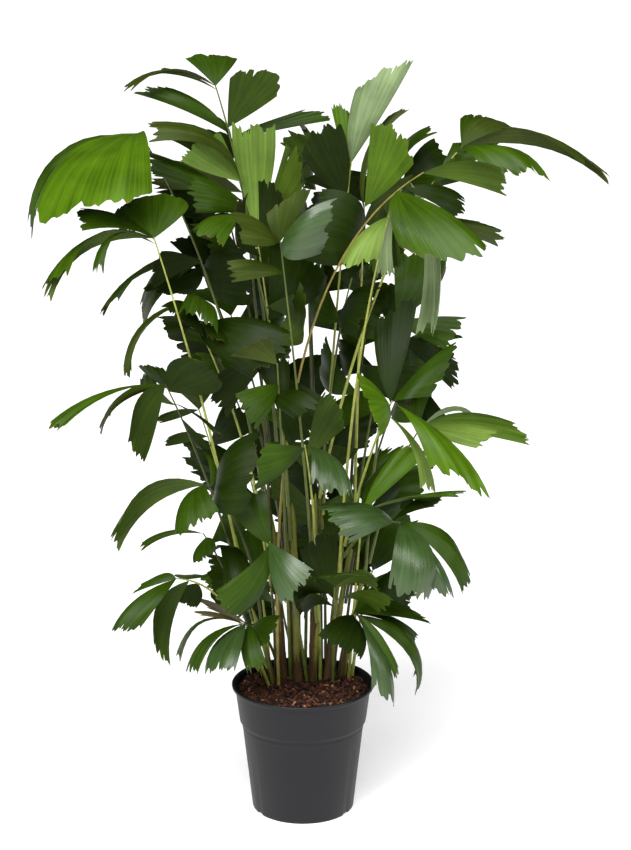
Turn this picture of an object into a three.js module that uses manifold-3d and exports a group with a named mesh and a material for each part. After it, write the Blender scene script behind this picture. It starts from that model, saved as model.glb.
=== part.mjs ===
// Potted clustering fishtail palm, in millimetres with Z up.
// The origin is the middle of the pot's flat underside, and the front of the plant faces -Y.
import * as THREE from 'three';
import { mergeVertices } from 'three/addons/utils/BufferGeometryUtils.js';
import Module from 'manifold-3d';

const wasm = await Module();
wasm.setup();

const { degToRad, lerp } = THREE.MathUtils;

// Clearance of seated pieces, the least one of a rib, and the wider one between leaves of two fronds
const seatGap = 0.3;
const ribGap = 0.25;
const leafGap = 1.2;

// Nursery pot
const pot = {
  height: 250,
  footRadius: 97,
  waistRadius: 116,
  waistHeight: 172,
  collarRadius: 120.6,
  collarHeight: 178,
  neckRadius: 128.6,
  neckHeight: 240,
  lipRadius: 135,
  lipHeight: 6,
  lipEdge: 1,
  wall: 2.2,
  floor: 3,
  sides: 40,
};
const drain = { width: 20, height: 8, reach: 22, turns: [-58, 58, 180] };

// Soil fills the pot to just under the lip
const soil = { top: 237 };

// Canes: where each one leaves the soil, where it ends, and its radius
const caneSides = 8;
const caneTaper = 0.62;
const caneFlare = { scale: 1.28, height: 30 };
const caneBend = { across: 0.35, up: 0.5 };
const caneRings = [0, 0.09, 0.4, 0.7, 1];
const canes = [
  { foot: [-38, 58], top: [-60, 62, 560], radius: 8 },
  { foot: [-9, 40], top: [-20, 12, 600], radius: 8.5 },
  { foot: [19, 56], top: [24, 34, 612], radius: 8 },
  { foot: [47, 47], top: [76, 26, 520], radius: 7 },
  { foot: [-57, 26], top: [-96, -4, 400], radius: 6 },
  { foot: [76, 66], top: [124, 78, 470], radius: 6.5 },
  { foot: [-17, 92], top: [-40, 150, 580], radius: 7.5 },
  { foot: [25, 99], top: [36, 168, 540], radius: 7.5 },
  { foot: [55, 93], top: [98, 140, 500], radius: 7 },
  { foot: [20, 32], top: [30, -20, 380], radius: 5.5 },
];

// Ribs of the fronds, each one petiole and midrib: bend and swell place the middle of the arch
const rib = { sides: 3, steps: 6, footRadius: 3.3, tipRadius: 1.8, taper: 0.8, bend: 0.35, swell: 0.7 };

// Leaflet blades: at least a hundredth of their length thick
const bladeThickness = 1.5;
const bladeSlenderness = 95;

// Widths and heights of the fronds are given as they look from the front, on the plane through the stems.
// The eye stands four metres off and looks down a little, so a nearer place covers a lower one.
const eye = new THREE.Vector3(24, -3932.5, 1763.7);

// The place at depth y that covers width x and height z
function seen([x, z, y = 0]) {
  const share = 1 + y / -eye.y;
  return new THREE.Vector3(lerp(eye.x, x, share), y, lerp(eye.z, z, share));
}

// Finishes of the real surfaces
const finishes = {
  pot: { color: 0x3a3c40, roughness: 0.55, metalness: 0 },
  soil: { color: 0x3b2218, roughness: 0.95, metalness: 0 },
  cane: { color: 0x6f7a35, roughness: 0.7, metalness: 0 },
  frond: { color: 0x2f5a1c, roughness: 0.5, metalness: 0 },
};

// Closed solid from a three.js geometry: shared corners are merged and collapsed faces dropped
function solidOf(geometry) {
  geometry.deleteAttribute('normal');
  geometry.deleteAttribute('uv');
  const merged = mergeVertices(geometry, 1e-4);
  const index = merged.index.array;
  const kept = [];
  for (let i = 0; i < index.length; i += 3) {
    const [a, b, c] = [index[i], index[i + 1], index[i + 2]];
    if (a !== b && b !== c && c !== a) kept.push(a, b, c);
  }
  const vertProperties = new Float32Array(merged.getAttribute('position').array);
  const triVerts = new Uint32Array(kept);
  return new wasm.Manifold(new wasm.Mesh({ numProp: 3, vertProperties, triVerts }));
}

// Every corner of a geometry moved to where place() puts it
function warped(geometry, place) {
  const position = geometry.getAttribute('position');
  const corner = new THREE.Vector3();
  for (let i = 0; i < position.count; i++) {
    const moved = place(corner.fromBufferAttribute(position, i));
    position.setXYZ(i, moved.x, moved.y, moved.z);
  }
  return geometry;
}

// Geometry of a joined or cut solid
function geometryOf(solid) {
  const mesh = solid.getMesh();
  const geometry = new THREE.BufferGeometry();
  geometry.setAttribute('position', new THREE.BufferAttribute(mesh.vertProperties, 3));
  geometry.setIndex(new THREE.BufferAttribute(mesh.triVerts, 1));
  geometry.computeVertexNormals();
  return geometry;
}

function meshOf(name, solid, finish) {
  const mesh = new THREE.Mesh(geometryOf(solid), new THREE.MeshStandardMaterial(finish));
  mesh.name = name;
  return mesh;
}

// Solid turned about the upright axis from a profile of radius and height
function turned(profile, sides) {
  const points = profile.map(([radius, height]) => new THREE.Vector2(radius, height));
  const lathe = new THREE.LatheGeometry(points, sides);
  const upright = lathe.rotateX(Math.PI / 2);
  return solidOf(upright);
}

// Round limb along a curve: radiusAt gives its radius at each share of the way
function limb(curve, radiusAt, sides, steps) {
  const frames = curve.computeFrenetFrames(steps, false);
  const tube = new THREE.CylinderGeometry(1, 1, 1, sides, steps);
  return solidOf(warped(tube, (corner) => {
    const ring = Math.round((corner.y + 0.5) * steps);
    const share = ring / steps;
    const radius = radiusAt(share);
    return curve.getPoint(share)
      .addScaledVector(frames.normals[ring], corner.x * radius)
      .addScaledVector(frames.binormals[ring], -corner.z * radius);
  }));
}

// Random numbers from a seed, the same on every run
function drawsFrom(seed) {
  let state = (seed * 7919 + 12345) % 4294967296;
  return (low, high) => {
    state = (state * 1664525 + 1013904223) % 4294967296;
    return lerp(low, high, state / 4294967296);
  };
}

// How much wider the pot's wall and its collar get with height
const wallSlope = (pot.waistRadius - pot.footRadius) / pot.waistHeight;
const collarSlope = (pot.neckRadius - pot.collarRadius) / (pot.neckHeight - pot.collarHeight);

// Pot: one wall turned from its profile, open at the top, with drain notches in the foot
function potSolid() {
  const { wall, floor, height } = pot;
  const profile = [
    [0, 0],
    [pot.footRadius, 0],
    [pot.waistRadius, pot.waistHeight],
    [pot.collarRadius, pot.collarHeight],
    [pot.neckRadius, pot.neckHeight],
    [pot.lipRadius, height - pot.lipHeight],
    [pot.lipRadius, height - pot.lipEdge],
    [pot.lipRadius - pot.lipEdge, height],
    [pot.neckRadius - wall, height],
    [pot.neckRadius - wall, pot.neckHeight],
    [pot.collarRadius - wall, pot.collarHeight],
    [pot.waistRadius - wall, pot.waistHeight],
    [pot.footRadius - wall + wallSlope * floor, floor],
    [0, floor],
  ];
  const notches = drain.turns.map((turn) => {
    const notch = new THREE.BoxGeometry(drain.width, drain.reach, drain.height * 2);
    notch.translate(0, -pot.footRadius, 0);
    notch.rotateZ(degToRad(turn));
    return solidOf(notch);
  });
  return wasm.Manifold.difference([turned(profile, pot.sides), ...notches]);
}

// Soil: it fills the inside of the pot, a clearance smaller all round
function soilSolid() {
  const inset = pot.wall + seatGap;
  const base = pot.floor + seatGap;
  const profile = [
    [0, base],
    [pot.footRadius - inset + wallSlope * base, base],
    [pot.waistRadius - inset, pot.waistHeight],
    [pot.collarRadius - inset, pot.collarHeight],
    [pot.collarRadius - inset + collarSlope * (soil.top - pot.collarHeight), soil.top],
    [0, soil.top],
  ];
  return turned(profile, pot.sides);
}

// Middle control point of an arch: how far it has come across, and how far up
function archMiddle(start, end, across, up) {
  const middle = start.clone().lerp(end, across);
  return middle.setZ(lerp(start.z, end.z, up));
}

// Cane: a tapering limb with a flared foot, cut flat on the soil
function caneAxis({ foot, top }) {
  const start = new THREE.Vector3(foot[0], foot[1], soil.top + seatGap);
  const end = new THREE.Vector3(...top);
  return new THREE.QuadraticBezierCurve3(start, archMiddle(start, end, caneBend.across, caneBend.up), end);
}

function caneRadius(cane, share) {
  const height = share * (cane.top[2] - soil.top);
  const flare = Math.max(0, 1 - height / caneFlare.height) * (caneFlare.scale - 1);
  return cane.radius * (lerp(1, caneTaper, share) + flare);
}

function caneSolid(cane) {
  const axis = caneAxis(cane);
  const steps = caneRings.length - 1;
  const tube = new THREE.CylinderGeometry(1, 1, 1, caneSides, steps);
  return solidOf(warped(tube, (corner) => {
    const share = caneRings[Math.round((corner.y + 0.5) * steps)];
    const radius = caneRadius(cane, share);
    return axis.getPoint(share).add(new THREE.Vector3(corner.x * radius, corner.z * -radius, 0));
  }));
}

// Rib of a frond: it starts beside its cane, or on the soil, and arches to its tip.
// Where it would touch something, it starts further round the cane and its middle moves aside.
// It starts as much nearer to the cane than its full radius as the flat sides of the two allow.
const ribTries = [0, 1, -1, 2, -2, 3, -3, 4, -4, 5, -5, 6, -6, 7, -7];
const ribSideStep = 9;
const ribTurnStep = degToRad(20);
const ribNearer = [2, 1.6, 1.2, 0.8, 0.4, 0];

function ribCurve(frond, pushed, nearer) {
  const tip = seen(frond.tip);
  const away = tip.clone().setZ(0);
  let foot;
  if (frond.cane === undefined) {
    foot = new THREE.Vector3(frond.foot[0], frond.foot[1], soil.top - rib.footRadius);
    away.sub(foot).setZ(0).normalize();
  } else {
    const cane = canes[frond.cane];
    const share = frond.height;
    const centre = caneAxis(cane).getPoint(share);
    away.sub(centre).setZ(0).normalize();
    const beside = caneRadius(cane, share) + rib.footRadius + seatGap - nearer;
    const outward = away.clone().applyAxisAngle(new THREE.Vector3(0, 0, 1), pushed * ribTurnStep);
    foot = centre.clone().addScaledVector(outward, beside);
  }
  const aside = new THREE.Vector3(-away.y, away.x, 0);
  const middle = archMiddle(foot, tip, frond.bend ?? rib.bend, frond.swell ?? rib.swell);
  middle.addScaledVector(aside, pushed * ribSideStep);
  return new THREE.QuadraticBezierCurve3(foot, middle, tip);
}

// Radius of a rib: full at the foot, slimmer towards the tip
function ribRadius(share) {
  return lerp(rib.footRadius, rib.tipRadius, share ** rib.taper);
}

// Every rib is cut flat where it meets the soil
function ribSolid(curve) {
  return limb(curve, ribRadius, rib.sides, rib.steps).trimByPlane([0, 0, 1], soil.top + seatGap);
}

// Leaflet: from its base on the rib its blade opens between a long tail side and a shorter heel side.
// Its side margins swell outwards by the belly about halfway along, and its outer edge by the bulge.
const fan = { bulge: 0.12, belly: 0.3, sectors: 3 };
const fishtail = { bulge: 0.04, belly: 1, sectors: 2 };
const lance = { bulge: 0.1, belly: 3.2, sectors: 2 };
const pleat = { bulge: 0, belly: 0.9, sectors: 3 };
const strongBow = 0.19;
const bladeRings = { usual: 2, bowed: 3 };

function leafletShape(base, tail, heel, form) {
  const tailWay = tail.clone().sub(base);
  const heelWay = heel.clone().sub(base);
  const normal = tailWay.clone().cross(heelWay).normalize();
  const flipped = normal.z < 0;
  if (flipped) normal.negate();
  return { base, tailWay, heelWay, length: tailWay.length(), normal, flipped, ...form };
}

// Place on a blade: round goes from the tail side to the heel side, out from the base to the edge
function bladePoint(leaf, round, out) {
  const turn = 0.5 + (round - 0.5) * (1 + leaf.belly * (1 - out));
  const swell = 1 + leaf.bulge * 4 * round * (1 - round);
  const way = leaf.tailWay.clone().lerp(leaf.heelWay, turn).multiplyScalar(swell);
  const arch = leaf.bow * 4 * out * (1 - out) + leaf.cup * out * 4 * round * (1 - round);
  return leaf.base.clone()
    .addScaledVector(way, out)
    .addScaledVector(leaf.normal, leaf.length * arch);
}

// The part of a blade between from and the outer edge, as a closed thin solid
function bladeSolid(leaf, from = 0) {
  const rings = leaf.bow > strongBow ? bladeRings.bowed : bladeRings.usual;
  const thickness = Math.max(bladeThickness, leaf.length / bladeSlenderness);
  const slab = new THREE.BoxGeometry(1, 1, 1, leaf.sectors, rings, 1);
  return solidOf(warped(slab, (corner) => {
    const round = leaf.flipped ? corner.x + 0.5 : 0.5 - corner.x;
    const out = lerp(from, 1, corner.y + 0.5);
    return bladePoint(leaf, round, out).addScaledVector(leaf.normal, corner.z * thickness);
  }));
}

// The leaflets at the tip root just short of the rib's end.
const lastRoot = 0.997;

// From this share outwards a blade keeps clear of its own frond's leaflets that root elsewhere
const outerPart = 0.3;
const sameRoot = 0.005;

// A leaflet that would touch something is swung, tipped and shortened a little more with each try
const leafTries = [0, 1, -1, 2, -2, 3, -3];
const trySwing = degToRad(8);
const tryTip = 0.05;
const tryShrink = 0.05;

function triedShape(leaf, base, count) {
  const upright = new THREE.Vector3(0, 0, 1);
  const size = 1 - tryShrink * Math.abs(count);
  const corners = [leaf.tail, leaf.heel].map((corner) => {
    const way = corner.clone().sub(base);
    const length = way.length();
    way.applyAxisAngle(upright, trySwing * count).multiplyScalar(size);
    way.z += tryTip * length * count;
    return way.add(base);
  });
  return leafletShape(base, corners[0], corners[1], leaf.form);
}

// Leaflets that follow from a rib alone: a fan at its tip, then fishtails on alternate sides.
// Each pair is the least and the most: length is a share of the frond's leaf size, heel one of that
// length, and the turns are degrees away from the rib's own way.
const tipRule = {
  form: fan,
  length: [0.9, 1.05],
  tailTurn: [-38, -28],
  heelTurn: [28, 40],
  heel: [0.8, 0.95],
};
const sideRule = {
  form: fishtail,
  length: [0.95, 1.2],
  tailTurn: [34, 52],
  heelTurn: [74, 92],
  heel: [0.55, 0.7],
};
const ruledRoots = { first: 1.02, step: 0.085, stray: [0, 0.02] };
const ruledHang = { droop: [0.05, 0.5], bow: [0.08, 0.2], cup: [-0.05, 0.08] };

function ruledLeaflets(frond, curve) {
  const draw = drawsFrom(frond.seed);
  const up = new THREE.Vector3(0, 0, 1);
  const list = [];
  for (let i = 0; i < (frond.count ?? 0); i++) {
    const rule = i === 0 ? tipRule : sideRule;
    const at = i === 0 ? 1 : ruledRoots.first - ruledRoots.step * i - draw(...ruledRoots.stray);
    const base = curve.getPoint(at);
    const along = curve.getTangent(at);
    const across = along.clone().cross(up).normalize();
    const side = (i + frond.seed) % 2 === 0 ? 1 : -1;
    const length = frond.size * draw(...rule.length);
    const tailTurn = degToRad(draw(...rule.tailTurn));
    const heelTurn = degToRad(draw(...rule.heelTurn));
    const heelLength = length * draw(...rule.heel);
    const droop = draw(...ruledHang.droop);
    const corner = (turn, reach) => {
      const way = along.clone().multiplyScalar(Math.cos(turn));
      way.addScaledVector(across, side * Math.sin(turn));
      way.z -= droop;
      return way.normalize().multiplyScalar(reach).add(base);
    };
    const form = { ...rule.form, bow: draw(...ruledHang.bow), cup: draw(...ruledHang.cup) };
    list.push({ at, tail: corner(tailTurn, length), heel: corner(heelTurn, heelLength), form });
  }
  return list;
}

// Leaflets that are placed by hand are fishtails with a slight bow and cup where nothing else is said
const usualForm = { ...fishtail, bow: 0.12, cup: 0.03 };

function placedLeaflets(frond) {
  return (frond.leaflets ?? []).map(({ at, tail, heel, form, ...own }) => (
    { at, tail: seen(tail), heel: seen(heel), form: { ...usualForm, ...form, ...own } }
  ));
}

// Fronds with leaflets placed by hand: tail and heel are the two outer corners of a blade
const placedFronds = [
  {
    name: 'frond_top_left', cane: 6, height: 0.98, tip: [-154, 1377, 30], bend: 0.22, swell: 0.62,
    leaflets: [
      {
        at: 1, tail: [-206, 1426, 80], heel: [-114, 1422, 95],
        form: fan, bow: 0.07, bulge: 0.14, belly: 0.38,
      },
      { at: 1, tail: [-316, 1362, -10], heel: [-305, 1370, -35], bow: 0.2, belly: 2.28 },
      { at: 0.985, tail: [-253, 1400, 80], heel: [-247, 1404, 60], bow: 0.07, bulge: 0.02, belly: 1.2 },
      {
        at: 0.875, tail: [-43, 1358, -35], heel: [-126, 1390, 15],
        form: fan, bow: 0.01, bulge: 0.42, belly: 0.2,
      },
      { at: 0.86, tail: [-299, 1366, 40], heel: [-229, 1371, 60], bow: 0.14, bulge: 0.06, belly: 0.63 },
      { at: 0.84, tail: [50, 1317, 50], heel: [-19, 1326, 75], bow: 0.03, bulge: 0.15, belly: 0.71 },
      { at: 0.83, tail: [-193, 1329, 55], heel: [-165, 1324, 113], form: fan, bow: 0.17 },
    ],
  },
  {
    name: 'frond_left_fan', cane: 0, height: 0.97, tip: [-289, 1293, 20], bend: 0.3, swell: 0.62,
    leaflets: [
      {
        at: 1, tail: [-477, 1168, -120], heel: [-271, 1192, -200],
        form: fan, bow: 0.17, bulge: 0.44, belly: 0.62,
      },
      { at: 0.985, tail: [-490, 1102, -5], heel: [-484, 1144, 45], bow: 0.27, bulge: 0, belly: 1.1 },
      { at: 0.93, tail: [-322, 1190, 90], heel: [-280, 1240, 100], bow: 0.1 },
      { at: 0.62, tail: [-272, 1008, 16], heel: [-254, 1079, 2], form: fan, bow: 0.1 },
    ],
  },
  {
    name: 'frond_upper_left', cane: 0, height: 0.82, tip: [-110, 1206, 0], bend: 0.3, swell: 0.62,
    leaflets: [
      { at: 1, tail: [-275, 1309, -4], heel: [-290, 1274, -72], bow: 0.24, bulge: 0.08, belly: 1.28 },
      {
        at: 1, tail: [-216, 1242, -70], heel: [-148, 1292, -30],
        form: fan, bow: 0.06, bulge: 0.14, belly: 0.55,
      },
      { at: 0.96, tail: [-274, 1245, 73], heel: [-263, 1194, 72], bow: 0.21, bulge: 0.09, belly: 1.28 },
      { at: 0.93, tail: [-280, 1262, -20], heel: [-272, 1220, -30], bow: 0.1, bulge: 0.06, belly: 1.28 },
      { at: 0.9, tail: [-208, 1220, -70], heel: [-193, 1148, -85], form: fan, bulge: 0.07, belly: 0.55 },
      { at: 0.86, tail: [-205, 1112, -90], heel: [-142, 1092, -110], form: fan, bow: 0.2, belly: 0.47 },
    ],
  },
  {
    name: 'frond_left_drooping', cane: 4, height: 0.97, tip: [-268, 1104, -150], bend: 0.4, swell: 0.56,
    leaflets: [
      { at: 1, tail: [-206, 1165, -91], heel: [-338, 1150, -81], form: fan, bulge: 0.39, belly: 1.39 },
      { at: 1, tail: [-461, 992, -200], heel: [-428, 1038, -215], bow: 0.26, bulge: 0.13, belly: 0.92 },
      { at: 0.99, tail: [-340, 1102, -69], heel: [-306, 1108, -64], bow: 0.25, belly: 0.92 },
      { at: 0.98, tail: [-380, 1030, -225], heel: [-362, 1040, -235], bow: 0.34, belly: 0.83 },
      { at: 1, tail: [-397, 1117, -231], heel: [-392, 1158, -134], form: fan, bow: 0.1 },
    ],
  },
  {
    name: 'frond_left_shaded', cane: 6, height: 0.84, tip: [-190, 1066, 110], bend: 0.4, swell: 0.6,
    leaflets: [
      {
        at: 1, tail: [-362, 962, 100], heel: [-335, 985, 75],
        form: lance, bow: 0.16, bulge: 0.12, belly: 3.12,
      },
      { at: 0.98, tail: [-291, 940, 139], heel: [-286, 985, 219], form: lance, bow: 0.16, bulge: 0.03 },
      {
        at: 0.96, tail: [-206, 997, 55], heel: [-290, 1010, 90],
        form: fan, bow: 0.04, bulge: 0.14, belly: 1.13,
      },
      { at: 0.97, tail: [-225, 1178, 150], heel: [-140, 1120, 180], form: fan, belly: 0.97 },
      { at: 0.94, tail: [-95, 1082, 40], heel: [-92, 980, 30], bow: 0.22, bulge: 0.08, belly: 1.5 },
      { at: 0.89, tail: [-265, 1118, 159], heel: [-182, 1114, 178], form: fan, bow: 0.1 },
    ],
  },
  {
    name: 'frond_left_arched', cane: 0, height: 0.7, tip: [-212, 985, -40], bend: 0.35, swell: 0.62,
    leaflets: [
      { at: 1, tail: [-319, 860, -55], heel: [-316, 843, -80], bow: 0.24, bulge: 0.08, belly: 1.38 },
      { at: 1, tail: [-256, 978, -87], heel: [-181, 921, -106], form: fan },
      { at: 0.97, tail: [-153, 930, -140], heel: [-225, 965, -120], form: fan, bow: 0.27, belly: 0.47 },
      { at: 0.9, tail: [-173, 919, -128], heel: [-140, 905, -132], bow: 0.14, belly: 1.4 },
      {
        at: 0.88, tail: [-25, 932, -110], heel: [-98, 846, -130],
        form: fan, bow: 0.17, bulge: 0.21, belly: 0.97,
      },
    ],
  },
  {
    name: 'frond_left_hanging', cane: 4, height: 0.82, tip: [-252, 832, -90], bend: 0.42, swell: 0.6,
    leaflets: [
      { at: 1, tail: [-294, 684, -145], heel: [-318, 746, -180], bow: 0.07, bulge: 0.11, belly: 2.4 },
      { at: 1, tail: [-458, 753, -100], heel: [-436, 748, -140], bulge: 0.11 },
      { at: 0.99, tail: [-374, 738, -30], heel: [-354, 768, -5], bow: 0.16, bulge: 0.08, belly: 1.59 },
      { at: 0.97, tail: [-301, 866, -70], heel: [-256, 864, -60], bow: 0.03, bulge: 0.06, belly: 1.17 },
      { at: 0.96, tail: [-146, 837, -140], heel: [-204, 880, -135], form: lance, bow: 0.04 },
      { at: 0.9, tail: [-153, 730, -145], heel: [-162, 738, -160], form: lance, bow: 0.06, belly: 2.93 },
      { at: 0.89, tail: [-298, 837, -9], heel: [-268, 864, -38], bow: 0.23, bulge: 0.08, belly: 0.75 },
      { at: 0.83, tail: [-168, 713, -67], heel: [-195, 710, -70], form: fan, bow: 0.17 },
    ],
  },
  {
    name: 'frond_left_slender', foot: [-78, 62], tip: [-191, 784, 60], bend: 0.4, swell: 0.6,
    leaflets: [
      { at: 1, tail: [-247, 834, 95], heel: [-166, 819, 90], form: fan, bow: 0.1, bulge: 0.25 },
      { at: 1, tail: [-265, 758, 45], heel: [-263, 773, 45], form: lance, bow: 0.07, belly: 2.57 },
      { at: 0.88, tail: [-254, 713, 40], heel: [-247, 733, 40], form: lance, bulge: 0.06, belly: 2.4 },
      {
        at: 0.84, tail: [-90, 745, 88], heel: [-140, 800, 112],
        form: fan, bow: 0.08, bulge: 0.16, belly: 0.72,
      },
    ],
  },
  {
    name: 'frond_low_left_arched', cane: 4, height: 0.62, tip: [-180, 640, -100], bend: 0.35, swell: 0.75,
    leaflets: [
      { at: 1, tail: [-346, 512, -125], heel: [-343, 566, -155], bow: 0.24, bulge: 0.08, belly: 1.37 },
      {
        at: 1, tail: [-238, 539, -205], heel: [-156, 590, -205],
        form: fan, bow: 0.2, bulge: 0.19, belly: 0.13,
      },
      { at: 0.96, tail: [-182, 705, -44], heel: [-156, 657, -59], form: fan },
      {
        at: 0.9, tail: [-82, 743, -130], heel: [-106, 583, -170],
        form: fan, bow: 0.19, bulge: 0.23, belly: 0.96,
      },
    ],
  },
  {
    name: 'frond_low_left_thin', foot: [-72, 40], tip: [-186, 545, -20], bend: 0.45, swell: 0.66,
    leaflets: [
      { at: 1, tail: [-303, 510, -30], heel: [-298, 525, -10], bow: 0.16, belly: 1.08 },
      { at: 0.96, tail: [-204, 485, -65], heel: [-163, 508, -60], bow: 0.08, bulge: 0.12, belly: 1.68 },
      { at: 0.9, tail: [-145, 592, 10], heel: [-88, 568, 35], form: fan, bow: 0.16, belly: 0.55 },
      { at: 0.84, tail: [-148, 450, -130], heel: [-88, 445, -120], form: fan, bow: 0.31, belly: 0.38 },
    ],
  },
  {
    name: 'frond_low_left', foot: [-64, 12], tip: [-238, 456, -110], bend: 0.4, swell: 0.9,
    leaflets: [
      { at: 1, tail: [-322, 426, -105], heel: [-282, 458, -85], bow: 0.08, bulge: 0, belly: 1.6 },
      { at: 1, tail: [-362, 357, -175], heel: [-308, 356, -180], bow: 0.14, bulge: 0.11, belly: 1.66 },
      { at: 0.88, tail: [-256, 283, -130], heel: [-283, 336, -160], bow: 0.17, belly: 1.53 },
      { at: 0.92, tail: [-177, 461, -60], heel: [-241, 464, -50], form: fan, bow: 0.01, belly: 0.8 },
      { at: 0.8, tail: [-233, 410, -70], heel: [-203, 398, -50], form: lance, bow: 0.09 },
    ],
  },
  {
    name: 'frond_foot_left', foot: [-40, 30], tip: [-112, 366, -80], bend: 0.35, swell: 0.9,
    leaflets: [
      { at: 1, tail: [-204, 392, -70], heel: [-196, 382, -85], form: lance, bow: 0.07, bulge: 0.08 },
      { at: 1, tail: [-224, 271, -120], heel: [-200, 264, -140], bow: 0.22, bulge: 0, belly: 1.48 },
      { at: 0.97, tail: [-238, 292, -40], heel: [-236, 295, -90], bow: 0.26, bulge: 0, belly: 0.75 },
      { at: 0.96, tail: [-189, 270, -160], heel: [-130, 273, -190], bulge: 0.08, belly: 1.65 },
      { at: 0.94, tail: [-198, 417, -21], heel: [-182, 397, -9], form: lance, bow: 0.05, belly: 3.12 },
      { at: 0.85, tail: [-105, 266, -145], heel: [-67, 278, -150], bow: 0.24, belly: 1.4 },
      {
        at: 0.8, tail: [-40, 382, -95], heel: [-80, 314, -130],
        form: fan, bow: 0.09, bulge: 0.16, belly: 0.55,
      },
    ],
  },
  {
    name: 'frond_foot_right', foot: [66, 42], tip: [100, 388, -70], bend: 0.5, swell: 0.85,
    leaflets: [
      { at: 1, tail: [178, 202, -115], heel: [134, 234, -135], bulge: 0.1, belly: 1.53 },
      { at: 1, tail: [174, 256, -90], heel: [174, 292, -75], bow: 0.14, bulge: 0.1, belly: 1.41 },
      { at: 0.98, tail: [243, 363, -65], heel: [216, 391, -25], form: lance, bulge: 0.01 },
      { at: 0.94, tail: [218, 326, -20], heel: [210, 346, 25], bulge: 0, belly: 1.23 },
      { at: 0.9, tail: [211, 221, -50], heel: [215, 262, -20], bow: 0.3, belly: 1.73 },
      {
        at: 0.86, tail: [32, 345, -150], heel: [110, 295, -130],
        form: fan, bow: 0.1, bulge: 0.14, belly: 1.05,
      },
      { at: 0.82, tail: [150, 420, 20], heel: [118, 445, 40], form: fan, bow: 0.08 },
    ],
  },
  {
    name: 'frond_low_right', cane: 3, height: 0.9, tip: [182, 566, -100], bend: 0.45, swell: 0.9,
    leaflets: [
      { at: 1, tail: [240, 418, -180], heel: [160, 437, -200], form: fan, bow: 0.29, belly: 1.7 },
      { at: 1, tail: [302, 426, -135], heel: [307, 482, -95], bow: 0.24, bulge: 0.06, belly: 1.75 },
      { at: 0.99, tail: [300, 424, -150], heel: [243, 433, -160], bow: 0.2, belly: 1.5 },
      { at: 0.9, tail: [28, 597, -205], heel: [88, 528, -215], form: fan, bow: 0.16, belly: 0.6 },
      { at: 0.86, tail: [252, 615, -10], heel: [246, 595, -40], form: lance, bow: 0.14, bulge: 0.16 },
    ],
  },
  {
    name: 'frond_right_bright', foot: [88, 54], tip: [112, 588, -60], bend: 0.5, swell: 0.6,
    leaflets: [
      { at: 1, tail: [232, 700, -45], heel: [178, 712, -20], bow: 0.06, bulge: 0.11, belly: 0.78 },
      { at: 1, tail: [290, 618, -70], heel: [281, 620, -95], form: lance, bow: 0.06, bulge: 0.12 },
      { at: 0.98, tail: [182, 677, 0], heel: [128, 661, 23], form: fan, bow: 0.09, belly: 0.5 },
      {
        at: 0.93, tail: [183, 595, 15], heel: [172, 656, 25],
        form: fan, bow: 0.01, bulge: 0.05, belly: 0.38,
      },
    ],
  },
  {
    name: 'frond_right_glossy', cane: 3, height: 0.98, tip: [164, 798, -110], bend: 0.45, swell: 0.6,
    leaflets: [
      {
        at: 1, tail: [279, 914, -55], heel: [238, 808, -115],
        form: fan, bow: 0.11, bulge: 0.18, belly: 0.4,
      },
      { at: 1, tail: [351, 612, -200], heel: [238, 672, -205], bow: 0.11, bulge: 0.1, belly: 0.9 },
      {
        at: 0.985, tail: [211, 995, -40], heel: [130, 943, -40],
        form: fan, bow: 0.03, bulge: 0.07, belly: 0.73,
      },
      {
        at: 0.97, tail: [147, 734, -195], heel: [100, 853, -155],
        form: fan, bow: 0.06, bulge: 0.25, belly: 0.4,
      },
      {
        at: 0.9, tail: [220, 633, -140], heel: [249, 632, -110],
        form: fan, bow: 0.15, bulge: 0.08, belly: 0.32,
      },
    ],
  },
  {
    name: 'frond_right_level', cane: 5, height: 0.97, tip: [223, 755, -10], bend: 0.42, swell: 0.7,
    leaflets: [
      { at: 1, tail: [422, 717, -30], heel: [382, 762, -30], bow: 0.14, bulge: 0.06, belly: 1.82 },
      { at: 1, tail: [366, 746, -80], heel: [320, 713, -90], form: lance, bow: 0.01, belly: 1.47 },
      { at: 0.97, tail: [319, 757, 49], heel: [306, 767, 60], form: lance, bow: 0.3, belly: 1.67 },
      { at: 0.92, tail: [211, 820, 60], heel: [252, 851, 50], form: fan, belly: 0.63 },
    ],
  },
  {
    name: 'frond_right_back', cane: 5, height: 0.84, tip: [170, 950, 60], bend: 0.4, swell: 0.6,
    leaflets: [
      { at: 1, tail: [298, 958, 30], heel: [268, 894, 10], bow: 0.05, bulge: 0.02, belly: 0.42 },
      {
        at: 1, tail: [262, 1050, 135], heel: [167, 1063, 90],
        form: fan, bow: 0.14, bulge: 0.23, belly: 0.8,
      },
      { at: 0.95, tail: [278, 890, 85], heel: [276, 820, 80], form: fan },
      {
        at: 0.92, tail: [90, 985, 55], heel: [91, 920, 24],
        form: fan, bow: 0.16, bulge: 0.14, belly: 0.8,
      },
    ],
  },
  {
    name: 'frond_right_arching', cane: 2, height: 0.98, tip: [286, 1268, -40], bend: 0.36, swell: 0.72,
    leaflets: [
      { at: 1, tail: [550, 1198, -35], heel: [501, 1240, -65], bow: 0.2, bulge: 0.09, belly: 1.53 },
      { at: 1, tail: [392, 1294, 20], heel: [328, 1317, 55], bow: 0.18, bulge: 0.02, belly: 1.3 },
      { at: 1, tail: [331, 1319, 40], heel: [282, 1318, 35], form: fan, bow: 0.08, belly: 0.38 },
      { at: 0.97, tail: [446, 1212, -140], heel: [350, 1205, -150], bow: 0.18, bulge: 0, belly: 1.58 },
      { at: 0.83, tail: [354, 1275, 12], heel: [270, 1275, -3], form: fan, bow: 0.17, belly: 0.38 },
    ],
  },
  {
    name: 'frond_right_front', foot: [-46, 8], tip: [217, 1221, -150], bend: -0.15, swell: 0.8,
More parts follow.
